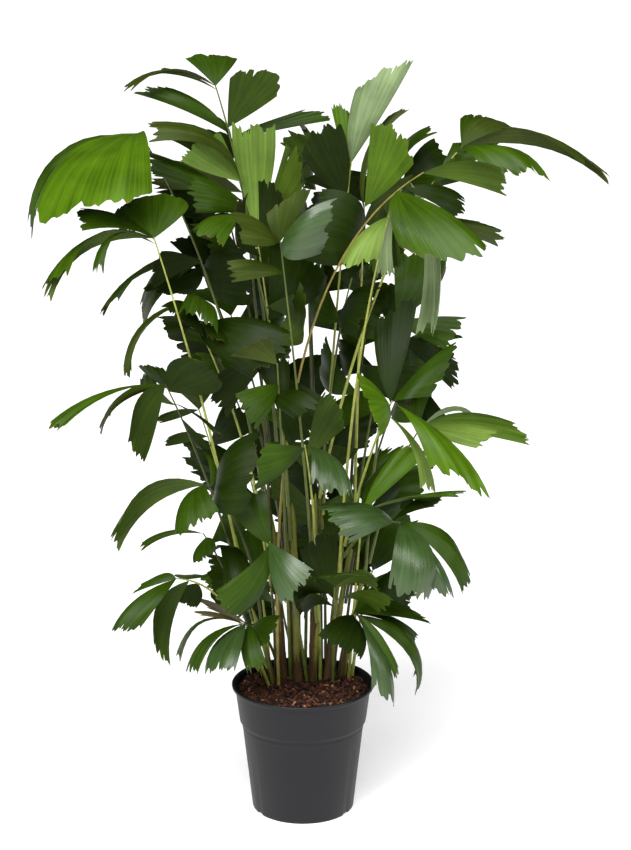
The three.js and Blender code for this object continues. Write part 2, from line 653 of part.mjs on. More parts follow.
    leaflets: [
      { at: 1, tail: [369, 1182, -190], heel: [358, 1230, -215], bow: 0.1, bulge: 0.01, belly: 1.35 },
      {
        at: 0.92, tail: [334, 1091, -230], heel: [174, 1090, -200],
        form: fan, bow: 0.1, bulge: 0.37, belly: 0.65,
      },
      { at: 0.87, tail: [120, 1043, -70], heel: [181, 1058, -80], form: fan, belly: 0.38 },
      {
        at: 0.93, tail: [276, 1139, -120], heel: [282, 1183, -90],
        form: fan, bow: 0.16, bulge: 0.16, belly: 0.77,
      },
      { at: 0.95, tail: [117, 1158, -110], heel: [144, 1216, -110], form: fan },
      { at: 0.94, tail: [143, 960, -77], heel: [183, 967, -72], form: fan, bulge: 0.05 },
      { at: 0.96, tail: [214, 932, -40], heel: [244, 956, -80], form: fan, belly: 0.85 },
    ],
  },
  {
    name: 'frond_right_pale', cane: 3, height: 0.78, tip: [156, 1143, -150], bend: 0.35, swell: 0.62,
    leaflets: [
      {
        at: 1, tail: [68, 1052, -215], heel: [138, 1068, -215],
        form: fan, bow: 0.16, bulge: 0.2, belly: 0.6,
      },
      { at: 1, tail: [363, 1092, -29], heel: [313, 1132, -41], bow: 0.05, bulge: 0.11, belly: 0.38 },
    ],
  },
  {
    name: 'frond_top_spear', cane: 7, height: 0.98, tip: [88, 1240, 40], bend: 0.3, swell: 0.5,
    leaflets: [
      {
        at: 1, tail: [198, 1422, 55], heel: [94, 1368, 60],
        form: fan, bow: 0.07, cup: 0.1, bulge: 0.1, belly: 0.64,
      },
      { at: 0.97, tail: [52, 1338, 70], heel: [84, 1328, 65], form: fan, bow: 0.04, belly: 0.58 },
      { at: 0.94, tail: [-40, 1274, 30], heel: [28, 1292, 40], form: fan, bow: 0.05, belly: 0.38 },
      {
        at: 0.91, tail: [69, 1308, -10], heel: [0, 1252, -20],
        form: fan, bow: 0.03, bulge: 0.19, belly: 1.05,
      },
    ],
  },
  {
    name: 'frond_top_bright', cane: 8, height: 0.98, tip: [112, 1160, 20], bend: 0.35, swell: 0.5,
    leaflets: [
      { at: 1, tail: [124, 1309, -5], heel: [202, 1238, -30], form: fan, bow: 0.05, bulge: 0.2 },
      {
        at: 0.99, tail: [182, 1338, 55], heel: [161, 1306, 75],
        form: lance, bow: 0.15, bulge: 0.03, belly: 1.09,
      },
      { at: 0.95, tail: [200, 1218, 90], heel: [180, 1122, 90], form: fan, bow: 0.19, belly: 0.47 },
      {
        at: 0.9, tail: [38, 1203, -21], heel: [10, 1068, -71],
        form: fan, bow: 0.3, bulge: 0.1, belly: 1.64,
      },
      { at: 0.54, tail: [192, 788, 23], heel: [212, 866, 11], form: fan, bow: 0.23 },
      {
        at: 0.45, tail: [29, 933, 165], heel: [27, 828, 165],
        form: fan, bow: 0.1, bulge: 0.14, belly: 0.5,
      },
    ],
  },
  {
    name: 'frond_top_pleated', cane: 1, height: 0.98, tip: [-84, 1120, 10], bend: 0.3, swell: 0.5,
    leaflets: [
      {
        at: 1, tail: [-125, 1312, 10], heel: [-48, 1310, 10],
        form: pleat, bow: 0.07, cup: -0.06, belly: 1.3,
      },
      { at: 0.97, tail: [-28, 1274, -25], heel: [3, 1197, -40], form: fan, bow: 0.05, belly: 0.38 },
      { at: 0.93, tail: [-80, 1205, -57], heel: [-31, 1175, -74], form: fan, bow: 0.05, belly: 0.38 },
      { at: 0.9, tail: [-121, 1100, -113], heel: [-99, 1185, -99], form: fan, belly: 0.38 },
    ],
  },
  {
    name: 'frond_front_pair', cane: 9, height: 0.98, tip: [-40, 1098, -120], bend: 0.35, swell: 0.5,
    leaflets: [
      { at: 1, tail: [-129, 1150, -150], heel: [-108, 1094, -190], bow: 0.08, belly: 1.65 },
      {
        at: 1, tail: [17, 1192, -100], heel: [-64, 1146, -120],
        form: fan, bow: 0.05, bulge: 0.2, belly: 0.55,
      },
      { at: 0.99, tail: [60, 1175, -170], heel: [35, 1075, -160], form: fan, bow: 0.21, belly: 1.33 },
      { at: 0.92, tail: [-138, 1058, -140], heel: [-126, 1024, -160], belly: 1.58 },
    ],
  },
  {
    name: 'frond_front_high', foot: [-24, 46], tip: [-46, 870, -150], bend: 0.4, swell: 0.55,
    leaflets: [
      { at: 1, tail: [-132, 884, -180], heel: [-62, 918, -170], form: fan, bow: 0.08 },
      { at: 0.93, tail: [-124, 813, -200], heel: [-84, 747, -210], form: fan, bow: 0.14, bulge: 0.14 },
      { at: 0.9, tail: [34, 795, -210], heel: [-12, 764, -200], bow: 0.19, bulge: 0.11, belly: 1.5 },
      { at: 0.83, tail: [-90, 875, -112], heel: [-24, 877, -79], form: fan, bow: 0.1 },
    ],
  },
  {
    name: 'frond_front_middle', foot: [33, 40], tip: [4, 716, -150], bend: 0.4, swell: 0.65,
    leaflets: [
      { at: 1, tail: [94, 615, -215], heel: [14, 640, -245], form: fan, bow: 0.21, belly: 0.63 },
      { at: 0.98, tail: [-88, 626, -200], heel: [-72, 720, -190], form: fan, bow: 0.1 },
      { at: 0.93, tail: [40, 815, -160], heel: [78, 752, -150], bow: 0.14, bulge: 0.16, belly: 0.92 },
    ],
  },
  {
    name: 'frond_front_low', foot: [8, 30], tip: [-62, 528, -160], bend: 0.4, swell: 0.75,
    leaflets: [
      { at: 1, tail: [-40, 403, -220], heel: [19, 473, -225], form: fan, bulge: 0.14, belly: 0.38 },
      {
        at: 0.98, tail: [-162, 431, -220], heel: [-107, 387, -195],
        form: fan, bow: 0.18, bulge: 0.21, belly: 0.63,
      },
      { at: 0.94, tail: [-128, 592, -110], heel: [-70, 630, -135], form: fan, bulge: 0.14, belly: 0.63 },
    ],
  },
];

// Fronds that fill the crown's inside, sides and back: their leaflets follow from the rule,
// and a few have leaflets placed by hand besides
const ruledFronds = [
  {
    name: 'frond_back_01', cane: 7, height: 0.86, tip: [0, 1230, 150], size: 150, count: 5,
    leaflets: [
      { at: 0.95, tail: [134, 1160, 130], heel: [118, 1220, 122], bow: 0.1 },
    ],
  },
  { name: 'frond_back_02', cane: 6, height: 0.7, tip: [-150, 1200, 190], size: 150, count: 5 },
  {
    name: 'frond_back_03', cane: 8, height: 0.86, tip: [180, 1200, 200], size: 150, count: 5,
    leaflets: [
      { at: 0.95, tail: [296, 1209, 211], heel: [236, 1285, 249], bow: 0.23, bulge: 0, belly: 0.83 },
    ],
  },
  { name: 'frond_back_04', cane: 7, height: 0.72, tip: [10, 1080, 360], size: 160, count: 5 },
  { name: 'frond_back_05', cane: 6, height: 0.56, tip: [-130, 960, 340], size: 160, count: 5 },
  { name: 'frond_back_06', cane: 8, height: 0.7, tip: [160, 940, 330], size: 150, count: 5 },
  { name: 'frond_back_07', foot: [4, 112], tip: [20, 790, 370], size: 160, count: 5 },
  { name: 'frond_back_08', foot: [-44, 96], tip: [-110, 700, 290], size: 150, count: 5 },
  {
    name: 'frond_back_09', foot: [74, 82], tip: [128, 630, 250], size: 135, count: 5,
    leaflets: [
      { at: 0.89, tail: [186, 714, 197], heel: [131, 703, 243], bow: 0.3 },
    ],
  },
  { name: 'frond_back_10', foot: [44, 104], tip: [40, 540, 310], size: 140, count: 5 },
  { name: 'frond_back_11', foot: [-64, 74], tip: [-84, 470, 200], size: 130, count: 5 },
  {
    name: 'frond_back_12', foot: [94, 60], tip: [134, 480, 170], size: 130, count: 5,
    leaflets: [
      { at: 0.95, tail: [153, 601, 155], heel: [233, 541, 114], form: fan, bow: 0.23, bulge: 0.16 },
    ],
  },
  { name: 'frond_back_13', foot: [-10, 112], tip: [-40, 420, 230], size: 125, count: 5 },
  {
    name: 'frond_front_02', foot: [58, 30], tip: [60, 440, -120], size: 115, count: 5,
    leaflets: [
      { at: 0.77, tail: [63, 551, -91], heel: [-7, 517, -112], bow: 0.1 },
    ],
  },
  {
    name: 'frond_side_01', cane: 1, height: 0.8, tip: [-80, 1030, -20], size: 150, count: 5,
    leaflets: [
      { at: 0.77, tail: [47, 1030, 64], heel: [-59, 1100, 26], form: fan, bow: 0.18, belly: 0.8 },
      { at: 0.62, tail: [-138, 771, -16], heel: [-172, 841, -40], form: fan },
      { at: 0.54, tail: [-24, 711, -31], heel: [61, 787, -43], form: fan, bow: 0.07, belly: 0.63 },
    ],
  },
  { name: 'frond_side_02', cane: 2, height: 0.84, tip: [90, 1030, 90], size: 150, count: 5 },
  {
    name: 'frond_side_03', cane: 8, height: 0.5, tip: [200, 860, 140], size: 140, count: 4,
    leaflets: [
      { at: 1, tail: [282, 744, 81], heel: [228, 734, 112], bow: 0.1 },
    ],
  },
  { name: 'frond_side_04', cane: 6, height: 0.4, tip: [-150, 860, 120], size: 140, count: 4 },
  { name: 'frond_side_05', foot: [36, 76], tip: [30, 640, 70], size: 140, count: 6 },
  { name: 'frond_side_06', foot: [-52, 44], tip: [-60, 460, 20], size: 120, count: 5 },
];

// Solids already standing, with the boxes round them
const standing = [];

function boxesMeet(one, other, gap) {
  return [0, 1, 2].every((i) => one.min[i] < other.max[i] + gap && other.min[i] < one.max[i] + gap);
}

function touches(solid, gap, ignore) {
  const box = solid.boundingBox();
  return standing.some((piece) => (
    !ignore(piece) && boxesMeet(box, piece.box, gap) && solid.minGap(piece.solid, gap) < gap
  ));
}

function stand(solid, owner, at) {
  standing.push({ solid, owner, at, box: solid.boundingBox() });
}

const plant = new THREE.Group();

function addStanding(name, solid, finish) {
  plant.add(meshOf(name, solid, finish));
  stand(solid, name);
}

addStanding('pot', potSolid(), finishes.pot);
addStanding('soil', soilSolid(), finishes.soil);
canes.forEach((cane, i) => {
  const number = String(i + 1).padStart(2, '0');
  addStanding(`cane_${number}`, caneSolid(cane), finishes.cane);
});

const fronds = [...placedFronds, ...ruledFronds].map((frond, i) => ({ ...frond, seed: i + 1 }));

// Ribs stand first, so that every leaflet can keep clear of them
const isSoil = (piece) => piece.owner === 'soil';
for (const frond of fronds) {
  const tries = ribTries.flatMap((pushed) => ribNearer.map((nearer) => [pushed, nearer]));
  for (const [pushed, nearer] of tries) {
    frond.curve = ribCurve(frond, pushed, nearer);
    frond.solid = ribSolid(frond.curve);
    if (!touches(frond.solid, ribGap, isSoil)) break;
  }
  stand(frond.solid, frond.name);
}

// A leaflet keeps clear of everything but its own frond, and its outer part of that frond's leaflets too
for (const frond of fronds) {
  const leaflets = [...ruledLeaflets(frond, frond.curve), ...placedLeaflets(frond)];
  const pieces = [frond.solid];
  const isOwn = (piece) => piece.owner === frond.name;
  for (const leaf of leaflets) {
    const base = frond.curve.getPoint(Math.min(leaf.at, lastRoot));
    const sharesRoot = (piece) => piece.at === undefined || Math.abs(piece.at - leaf.at) < sameRoot;
    for (const count of leafTries) {
      const shape = triedShape(leaf, base, count);
      const blade = bladeSolid(shape);
      if (touches(blade, leafGap, isOwn)) continue;
      const outer = bladeSolid(shape, outerPart);
      if (touches(outer, leafGap, (piece) => !isOwn(piece) || sharesRoot(piece))) continue;
      pieces.push(blade);
      stand(blade, frond.name, leaf.at);
      break;
    }
  }
  const joined = wasm.Manifold.union(pieces);
  const bodies = joined.decompose().sort((one, other) => other.volume() - one.volume());
  plant.add(meshOf(frond.name, bodies[0], finishes.frond));
}

export default plant;
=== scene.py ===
import math

import bpy
import numpy as np
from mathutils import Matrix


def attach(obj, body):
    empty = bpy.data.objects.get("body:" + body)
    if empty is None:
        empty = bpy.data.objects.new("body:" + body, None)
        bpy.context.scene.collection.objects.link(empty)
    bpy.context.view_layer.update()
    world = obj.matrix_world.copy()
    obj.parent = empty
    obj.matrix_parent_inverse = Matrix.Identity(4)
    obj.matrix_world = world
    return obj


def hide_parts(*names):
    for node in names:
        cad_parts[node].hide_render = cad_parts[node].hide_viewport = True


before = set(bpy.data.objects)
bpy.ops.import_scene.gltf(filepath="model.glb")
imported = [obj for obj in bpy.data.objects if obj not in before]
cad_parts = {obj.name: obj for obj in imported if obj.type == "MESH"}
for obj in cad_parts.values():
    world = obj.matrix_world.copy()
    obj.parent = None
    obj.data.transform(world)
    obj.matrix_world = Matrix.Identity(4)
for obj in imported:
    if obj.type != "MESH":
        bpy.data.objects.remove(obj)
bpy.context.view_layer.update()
print("frame loaded:", len(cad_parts), "nodes")

upright = np.array([0.0, 0.0, 1.0])
mmPerMetre = 1000


def addObject(name, data):
    made = bpy.data.objects.new(name, data)
    bpy.context.collection.objects.link(made)
    return made


# Camera: four metres off, a little above the middle of the plant and looking down on it
cameraView = {
    "aim": (0.024, 0.0, 0.754),    # in metres, as the distance
    "distance": 4.06,
    "downward": 14.4,              # degrees
    "lens": 93.2,                  # mm, as the sensor's width
    "sensor": 36,
    "sight": 200,                  # how far it sees, in metres
}


def makeCamera():
    data = bpy.data.cameras.new("camera")
    data.lens = cameraView["lens"]
    data.sensor_width = cameraView["sensor"]
    data.clip_end = cameraView["sight"]
    camera = addObject("camera", data)
    down = math.radians(cameraView["downward"])
    aim = np.array(cameraView["aim"])
    camera.location = aim + cameraView["distance"] * np.array([0, -math.cos(down), math.sin(down)])
    camera.rotation_euler = (math.pi / 2 - down, 0, 0)
    bpy.context.scene.camera = camera


makeCamera()


# Shader maths: a Shade wraps one socket of a material's nodes, and arithmetic on it adds Math nodes
class Shade:
    def __init__(self, tree, socket=None):
        self.tree = tree
        self.socket = socket

    # any node: its type, its settings, which are set first, and the values or links of its sockets
    def node(self, kind, settings, sockets, output=0):
        made = self.tree.nodes.new("ShaderNode" + kind)
        for name, value in settings.items():
            setattr(made, name, value)
        for name, value in sockets.items():
            if isinstance(value, Shade):
                self.tree.links.new(value.socket, made.inputs[name])
            else:
                made.inputs[name].default_value = value
        return Shade(self.tree, made.outputs[output] if made.outputs else None)

    def math(self, operation, first, second=0.0):
        return self.node("Math", {"operation": operation}, {0: first, 1: second})

    def __add__(self, other):
        return self.math("ADD", self, other)

    def __radd__(self, other):
        return self.math("ADD", other, self)

    def __sub__(self, other):
        return self.math("SUBTRACT", self, other)

    def __rsub__(self, other):
        return self.math("SUBTRACT", other, self)

    def __mul__(self, other):
        return self.math("MULTIPLY", self, other)

    def __rmul__(self, other):
        return self.math("MULTIPLY", other, self)

    def __pow__(self, other):
        return self.math("POWER", self, other)

    def mixed(self, first, second):  # this value picks between two colours
        return self.node("Mix", {"data_type": "RGBA"}, {0: self, 6: first, 7: second}, output=2)


def newMaterial(name):  # an empty material, and a Shade at each point's place in the object
    material = bpy.data.materials.new(name)
    material.use_nodes = True
    material.node_tree.nodes.clear()
    return material, Shade(material.node_tree).node("TexCoord", {}, {}, output=3)


# Noise of a scale and a detail, which a piece's paint gives as a pair
def noise(place, scale, detail):
    return place.node("TexNoise", {}, {"Vector": place, "Scale": scale, "Detail": detail})


def stretched(place, scale):
    return place.node("Mapping", {}, {"Vector": place, "Scale": scale})


def ranged(value, low, high):  # 0 up to the low value, 1 from the high one on
    return value.node("MapRange", {}, {"Value": value, "From Min": low, "From Max": high})


# Puts a surface together: constants go on the shader's own sockets, what varies is linked.
# A bump is its strength and its depth in metres
def finishMaterial(shade, colour, roughness, gloss, bump, height):
    relief = shade.node("Bump", {}, {"Strength": bump[0], "Distance": bump[1], "Height": height})
    surface = shade.node("BsdfPrincipled", {}, {
        "Base Color": colour, "Roughness": roughness, "Specular IOR Level": gloss, "Normal": relief,
    })
    shade.node("OutputMaterial", {}, {"Surface": surface})


def opaque(colour, share=1.0):  # a colour with its alpha, lightened or darkened by a share
    return tuple(min(1.0, part * share) for part in colour) + (1.0,)


def shaded(pick, colour, shades):  # a colour between its darker and its lighter shade
    return pick.mixed(opaque(colour, shades[0]), opaque(colour, shades[1]))


# Surface of one noise, which makes its colour darker and lighter and lifts it
def grainyMaterial(name, colour, paint):
    material, place = newMaterial(name)
    grain = noise(place, *paint["grain"])
    base = shaded(grain, colour, paint["shades"])
    finishMaterial(place, base, paint["roughness"], paint["gloss"], paint["bump"], grain)
    return material


# Mesh of four-sided faces from whole arrays: points in mm, faces as rows of corner numbers.
# Edges sharper than an angle in degrees aren't smoothed
def meshFrom(name, shape, finishes, sharpAbove=50):
    faces = shape["faces"]
    mesh = bpy.data.meshes.new(name)
    mesh.vertices.add(len(shape["points"]))
    mesh.vertices.foreach_set("co", (shape["points"] / mmPerMetre).astype(np.float32).ravel())
    mesh.loops.add(faces.size)
    mesh.loops.foreach_set("vertex_index", faces.astype(np.int32).ravel())
    mesh.polygons.add(len(faces))
    mesh.polygons.foreach_set("loop_start", np.arange(0, faces.size, 4, dtype=np.int32))
    mesh.polygons.foreach_set("use_smooth", np.ones(len(faces), dtype=bool))
    if "finish" in shape:
        mesh.polygons.foreach_set("material_index", shape["finish"].astype(np.int32))
    if "uv" in shape:
        layer = mesh.uv_layers.new(name="surface")
        layer.data.foreach_set("uv", shape["uv"][faces.ravel()].astype(np.float32).ravel())
    for finish in finishes:
        mesh.materials.append(finish)
    mesh.update(calc_edges=True)
    mesh.set_sharp_from_angle(angle=math.radians(sharpAbove))
    piece = addObject(name, mesh)
    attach(piece, "root")
    return piece


# Several shapes in one set of arrays: each shape's corner numbers are moved past those before it
def joined(shapes):
    starts = np.cumsum([0] + [len(shape["points"]) for shape in shapes[:-1]])
    both = {"points": np.concatenate([shape["points"] for shape in shapes])}
    both["faces"] = np.concatenate([shape["faces"] + start for shape, start in zip(shapes, starts)])
    for key in ("finish", "uv"):
        if key in shapes[0]:
            both[key] = np.concatenate([shape[key] for shape in shapes])
    return both


def anglesRound(sides):
    return np.arange(sides) * 2 * np.pi / sides


def turned(x, y, angle):  # a pair of coordinates turned by an angle
    cosine, sine = np.cos(angle), np.sin(angle)
    return x * cosine - y * sine, x * sine + y * cosine


# Faces round a stack of rings of corners, closed at both ends by fans round two more corners
def ringFaces(rings, sides):
    row = np.arange(rings - 1)[:, None] * sides
    here = np.arange(sides)[None, :]
    after = (here + 1) % sides
    walls = np.stack([row + here, row + after, row + sides + after, row + sides + here], axis=-1).reshape(-1, 4)
    pairs = np.arange(0, sides, 2)
    last = (rings - 1) * sides
    first = np.full(len(pairs), rings * sides)
    under = np.stack([first, (pairs + 2) % sides, pairs + 1, pairs], axis=-1)
    over = np.stack([first + 1, last + pairs, last + pairs + 1, last + (pairs + 2) % sides], axis=-1)
    return np.concatenate([walls, under, over])


# Body turned round the upright axis: point = (radius cos a, radius sin a, height), and the heights of its ends
def turnedBody(radius, height, sides, ends):
    turn = anglesRound(sides)
    rings = np.stack([radius * np.cos(turn), radius * np.sin(turn), height], axis=-1).reshape(-1, 3)
    points = np.concatenate([rings, [[0, 0, end] for end in ends]])
    return {"points": points, "faces": ringFaces(len(radius), sides)}


# Points of an arch with three control points: (1-t)^2 a + 2t(1-t) b + t^2 c
def archPoints(arch, share):
    share = np.atleast_1d(np.asarray(share, float))[:, None]
    start, middle, end = arch
    return (1 - share) ** 2 * start + 2 * share * (1 - share) * middle + share ** 2 * end


# Unit way along an arch, from its slope 2(1-t)(b-a) + 2t(c-b)
def archWay(arch, share):
    share = np.atleast_1d(np.asarray(share, float))[:, None]
    start, middle, end = arch
    slope = (1 - share) * (middle - start) + share * (end - middle)
    return slope / np.linalg.norm(slope, axis=1, keepdims=True)


# Tube along an arch, closed at both ends. Ring i stands square to the arch at shares[i], or level:
# point = arch + radius(i, j) * (cos(a) * side + sin(a) * rise), with side level and rise square to both
def tube(arch, shares, radii, sides, level=False):
    centre = archPoints(arch, shares)
    if level:
        side, rise = np.array([[1.0, 0, 0]]), np.array([[0, 1.0, 0]])
    else:
        way = archWay(arch, shares)
        side = np.cross(way, upright)
        side /= np.linalg.norm(side, axis=1, keepdims=True)
        rise = np.cross(way, side)
    turn = anglesRound(sides)
    spread = np.cos(turn)[None, :, None] * side[:, None, :] + np.sin(turn)[None, :, None] * rise[:, None, :]
    points = (centre[:, None, :] + radii[:, :, None] * spread).reshape(-1, 3)
    points = np.concatenate([points, centre[:1], centre[-1:]])
    around = np.tile(np.arange(sides) / sides, len(shares))
    uv = np.concatenate([np.stack([around, np.repeat(shares, sides)], axis=1), [[0, 0], [0, 1]]])
    return {"points": points, "faces": ringFaces(len(shares), sides), "uv": uv}


# The plant's rule, as its solids follow it: canes, ribs that arch from them, leaflets along the ribs
potSize = {
    "footRadius": 97, "waistRadius": 116, "waistHeight": 172, "collarRadius": 120.6, "collarHeight": 178,
    "wall": 2.2, "floor": 3, "soilTop": 237,
}

# Canes: where each leaves the soil, where it ends, and its radius
canes = [
    {"foot": (-38, 58), "top": (-60, 62, 560), "radius": 8},
    {"foot": (-9, 40), "top": (-20, 12, 600), "radius": 8.5},
    {"foot": (19, 56), "top": (24, 34, 612), "radius": 8},
    {"foot": (47, 47), "top": (76, 26, 520), "radius": 7},
    {"foot": (-57, 26), "top": (-96, -4, 400), "radius": 6},
    {"foot": (76, 66), "top": (124, 78, 470), "radius": 6.5},
    {"foot": (-17, 92), "top": (-40, 150, 580), "radius": 7.5},
    {"foot": (25, 99), "top": (36, 168, 540), "radius": 7.5},
    {"foot": (55, 93), "top": (98, 140, 500), "radius": 7},
    {"foot": (20, 32), "top": (30, -20, 380), "radius": 5.5},
]
caneRule = {"taper": 0.62, "flare": 0.28, "flareHeight": 30, "across": 0.35, "up": 0.5, "gap": 0.3}
ribRule = {
    "footRadius": 3.3, "tipRadius": 1.8, "taper": 0.8, "bend": 0.35, "swell": 0.7, "sides": 3, "rings": 6,
    "pushes": 7,                            # tries to each side where the rib is crowded
    "swing": 20,                            # degrees round its cane, for each push
    "push": 9,                              # mm aside at its middle, for each push
    "nearer": (2, 1.6, 1.2, 0.8, 0.4, 0),   # mm nearer to its cane
    "match": 0.5,                           # mm that its corners may be off in all
}
eye = np.array([24, -3932.5, 1763.7])


# Place at depth y that covers width x and height z, as seen from the front
def seen(spot):
    x, z, y = (*spot, 0)[:3]
    share = 1 + y / -eye[1]
    return np.array([eye[0] + (x - eye[0]) * share, y, eye[2] + (z - eye[2]) * share])


# Control points of an arch whose middle has come some way across and some way up
def archOf(start, end, across, up):
    middle = start + (end - start) * across
    middle[2] = start[2] + (end[2] - start[2]) * up
    return np.array([start, middle, end])


def caneArch(cane):
    start = np.array([*cane["foot"], potSize["soilTop"] + caneRule["gap"]])
    return archOf(start, np.array(cane["top"], float), caneRule["across"], caneRule["up"])


# Radius of a cane: its taper, and a flare that dies out just above the soil
def caneRadius(cane, share):
    height = share * (cane["top"][2] - potSize["soilTop"])
    flare = np.maximum(0, 1 - height / caneRule["flareHeight"]) * caneRule["flare"]
    return cane["radius"] * (1 + (caneRule["taper"] - 1) * share + flare)


def ribRadius(share, rule=ribRule):
    return rule["footRadius"] + (rule["tipRadius"] - rule["footRadius"]) * share ** rule["taper"]


def turnedAbout(way, angle):  # turned about the upright axis
    return np.array([*turned(way[0], way[1], angle), way[2]])


# Arch of a frond's rib: beside its cane or from the soil, with its middle pushed aside where it is crowded
def ribArch(frond, pushed, nearer):
    tip = seen(frond["tip"])
    if "cane" in frond:
        cane = canes[frond["cane"]]
        centre = archPoints(caneArch(cane), frond["height"])[0]
        away = (tip - centre) * (1, 1, 0)
        away /= np.linalg.norm(away)
        beside = caneRadius(cane, frond["height"]) + ribRule["footRadius"] + caneRule["gap"] - nearer
        foot = centre + turnedAbout(away, math.radians(ribRule["swing"]) * pushed) * beside
    else:
        foot = np.array([*frond["foot"], potSize["soilTop"] - ribRule["footRadius"]])
        away = (tip - foot) * (1, 1, 0)
        away /= np.linalg.norm(away)
    arch = archOf(foot, tip, frond["bend"], frond["swell"])
    arch[1] += np.array([-away[1], away[0], 0]) * pushed * ribRule["push"]
    return arch


def outwards(most):  # 0, 1, -1, 2, -2 and so on
    return sorted(range(-most, most + 1), key=lambda number: (abs(number), -number))


# The arch that a frond's solid took: the one whose rings lie on the solid's corners
def standingArch(frond, corners):
    best, least = None, math.inf
    rings = np.array([1, 2, 3]) / ribRule["rings"]
    for pushed in outwards(ribRule["pushes"]):
        for nearer in ribRule["nearer"] if "cane" in frond else (0,):
            arch = ribArch(frond, pushed, nearer)
            reach = np.linalg.norm(corners[None, :, :] - archPoints(arch, rings)[:, None, :], axis=2)
            off = np.sort(abs(reach - ribRadius(rings)[:, None]), axis=1)[:, :ribRule["sides"]].sum()
            if off < least:
                best, least = arch, off
    return best, least


# Random numbers from a seed, drawn as the solids drew theirs: state = (factor * state + step) mod span
drawRule = {"seedFactor": 7919, "seedStep": 12345, "factor": 1664525, "step": 1013904223, "span": 2 ** 32}


def drawsFrom(seed):
    state = (seed * drawRule["seedFactor"] + drawRule["seedStep"]) % drawRule["span"]

    def draw(low, high):
        nonlocal state
        state = (state * drawRule["factor"] + drawRule["step"]) % drawRule["span"]
        return low + (high - low) * state / drawRule["span"]

    return draw


# Leaflets that follow from a rib alone: a fan at its tip, then fishtails on alternate sides.
# The outer edge bulges, the side margins belly, the lengths are shares and the turns are degrees
tipRule = {
    "bulge": 0.12, "belly": 0.3, "length": (0.9, 1.05), "heel": (0.8, 0.95),
    "tailTurn": (-38, -28), "heelTurn": (28, 40),
}
sideRule = {
    "bulge": 0.04, "belly": 1, "length": (0.95, 1.2), "heel": (0.55, 0.7),
    "tailTurn": (34, 52), "heelTurn": (74, 92),
}
leafRule = {
    "from": 1.02, "step": 0.085, "stray": (0, 0.02),    # places along the rib
    "droop": (0.05, 0.5), "bow": (0.08, 0.2), "cup": (-0.05, 0.08),
    "last": 0.997,                                      # place of a leaflet at the rib's tip
    "tries": 3,                                         # to each side where a leaflet is crowded
    "tryTurn": 8, "tryShorter": 0.05, "tryRise": 0.05,  # degrees, and shares of the length, for each try
    "thickness": 1.5, "slimness": 95,
    "match": 0.05,                                      # mm that a corner may be off
}


def ruledLeaves(frond):
    arch = frond["arch"]
    draw = drawsFrom(frond["seed"])
    leaves = []
    for i in range(frond["count"]):
        rule = sideRule if i else tipRule
        at = leafRule["from"] - leafRule["step"] * i - draw(*leafRule["stray"]) if i else 1
        base = archPoints(arch, at)[0]
        along = archWay(arch, at)[0]
        across = np.cross(along, upright)
        across /= np.linalg.norm(across)
        side = 1 if (i + frond["seed"]) % 2 == 0 else -1
        length = frond["size"] * draw(*rule["length"])
        tailTurn = math.radians(draw(*rule["tailTurn"]))
        heelTurn = math.radians(draw(*rule["heelTurn"]))
        heelLength = length * draw(*rule["heel"])
        droop = draw(*leafRule["droop"])
        corners = []
        for turn, reach in ((tailTurn, length), (heelTurn, heelLength)):
            way = along * math.cos(turn) + across * side * math.sin(turn) - upright * droop
            corners.append(base + way / np.linalg.norm(way) * reach)
        form = {"bulge": rule["bulge"], "belly": rule["belly"]}
        form.update(bow=draw(*leafRule["bow"]), cup=draw(*leafRule["cup"]))
        leaves.append({"look": "any", "at": at, "tail": corners[0], "heel": corners[1], "form": form})
    return leaves


# A leaflet after a number of tries, each of which swings, tips and shortens it a little more
def triedLeaf(plan, base, count):
    turn, share = math.radians(leafRule["tryTurn"]) * count, 1 - leafRule["tryShorter"] * abs(count)
    ways = []
    for corner in (plan["tail"], plan["heel"]):
        way = corner - base
        rise = leafRule["tryRise"] * np.linalg.norm(way) * count
        ways.append(turnedAbout(way, turn) * share + upright * rise)
    normal = np.cross(*ways)
    normal /= np.linalg.norm(normal)
    flipped = normal[2] < 0
    return {
        **plan["form"], "base": base, "tailWay": ways[0], "heelWay": ways[1], "look": plan["look"],
        "length": np.linalg.norm(ways[0]), "normal": -normal if flipped else normal, "flipped": flipped,
    }


# The leaflet that a frond's solid has, found by its outer corners among the solid's, or None
def standingLeaf(plan, base, corners):
    best, most = None, 1
    for count in outwards(leafRule["tries"]):
        shape = triedLeaf(plan, base, count)
        half = shape["normal"] * max(leafRule["thickness"], shape["length"] / leafRule["slimness"]) / 2
        tips = base + np.array([way + up for way in (shape["tailWay"], shape["heelWay"]) for up in (half, -half)])
        near = np.linalg.norm(corners[None, :, :] - tips[:, None, :], axis=2).min(axis=1)
        met = (near < leafRule["match"]).sum()
        if met > most:
            best, most = shape, met
    return best


# A rib starts beside a cane, some share of the way up it, or in the soil
def onCane(number, share):
    return {"cane": number, "height": share}


def inSoil(x, y):
    return {"foot": (x, y)}


# Leaflet: its look, its place along the rib, the corners of its tail and heel, how far its middle bows,
# its outer edge bulges and its side margins belly, and how it cups
def leaf(look, at, tail, heel, bow, bulge, belly, cup=0.03):
    form = {"bow": bow, "cup": cup, "bulge": bulge, "belly": belly}
    return {"look": look, "at": at, "tail": seen(tail), "heel": seen(heel), "form": form}


def frondOf(name, start, tip, bend, swell, rows):
    leaves = [leaf(*row) for row in rows]
    return {"name": "frond_" + name, **start, "tip": tip, "bend": bend, "swell": swell, "count": 0, "leaves": leaves}


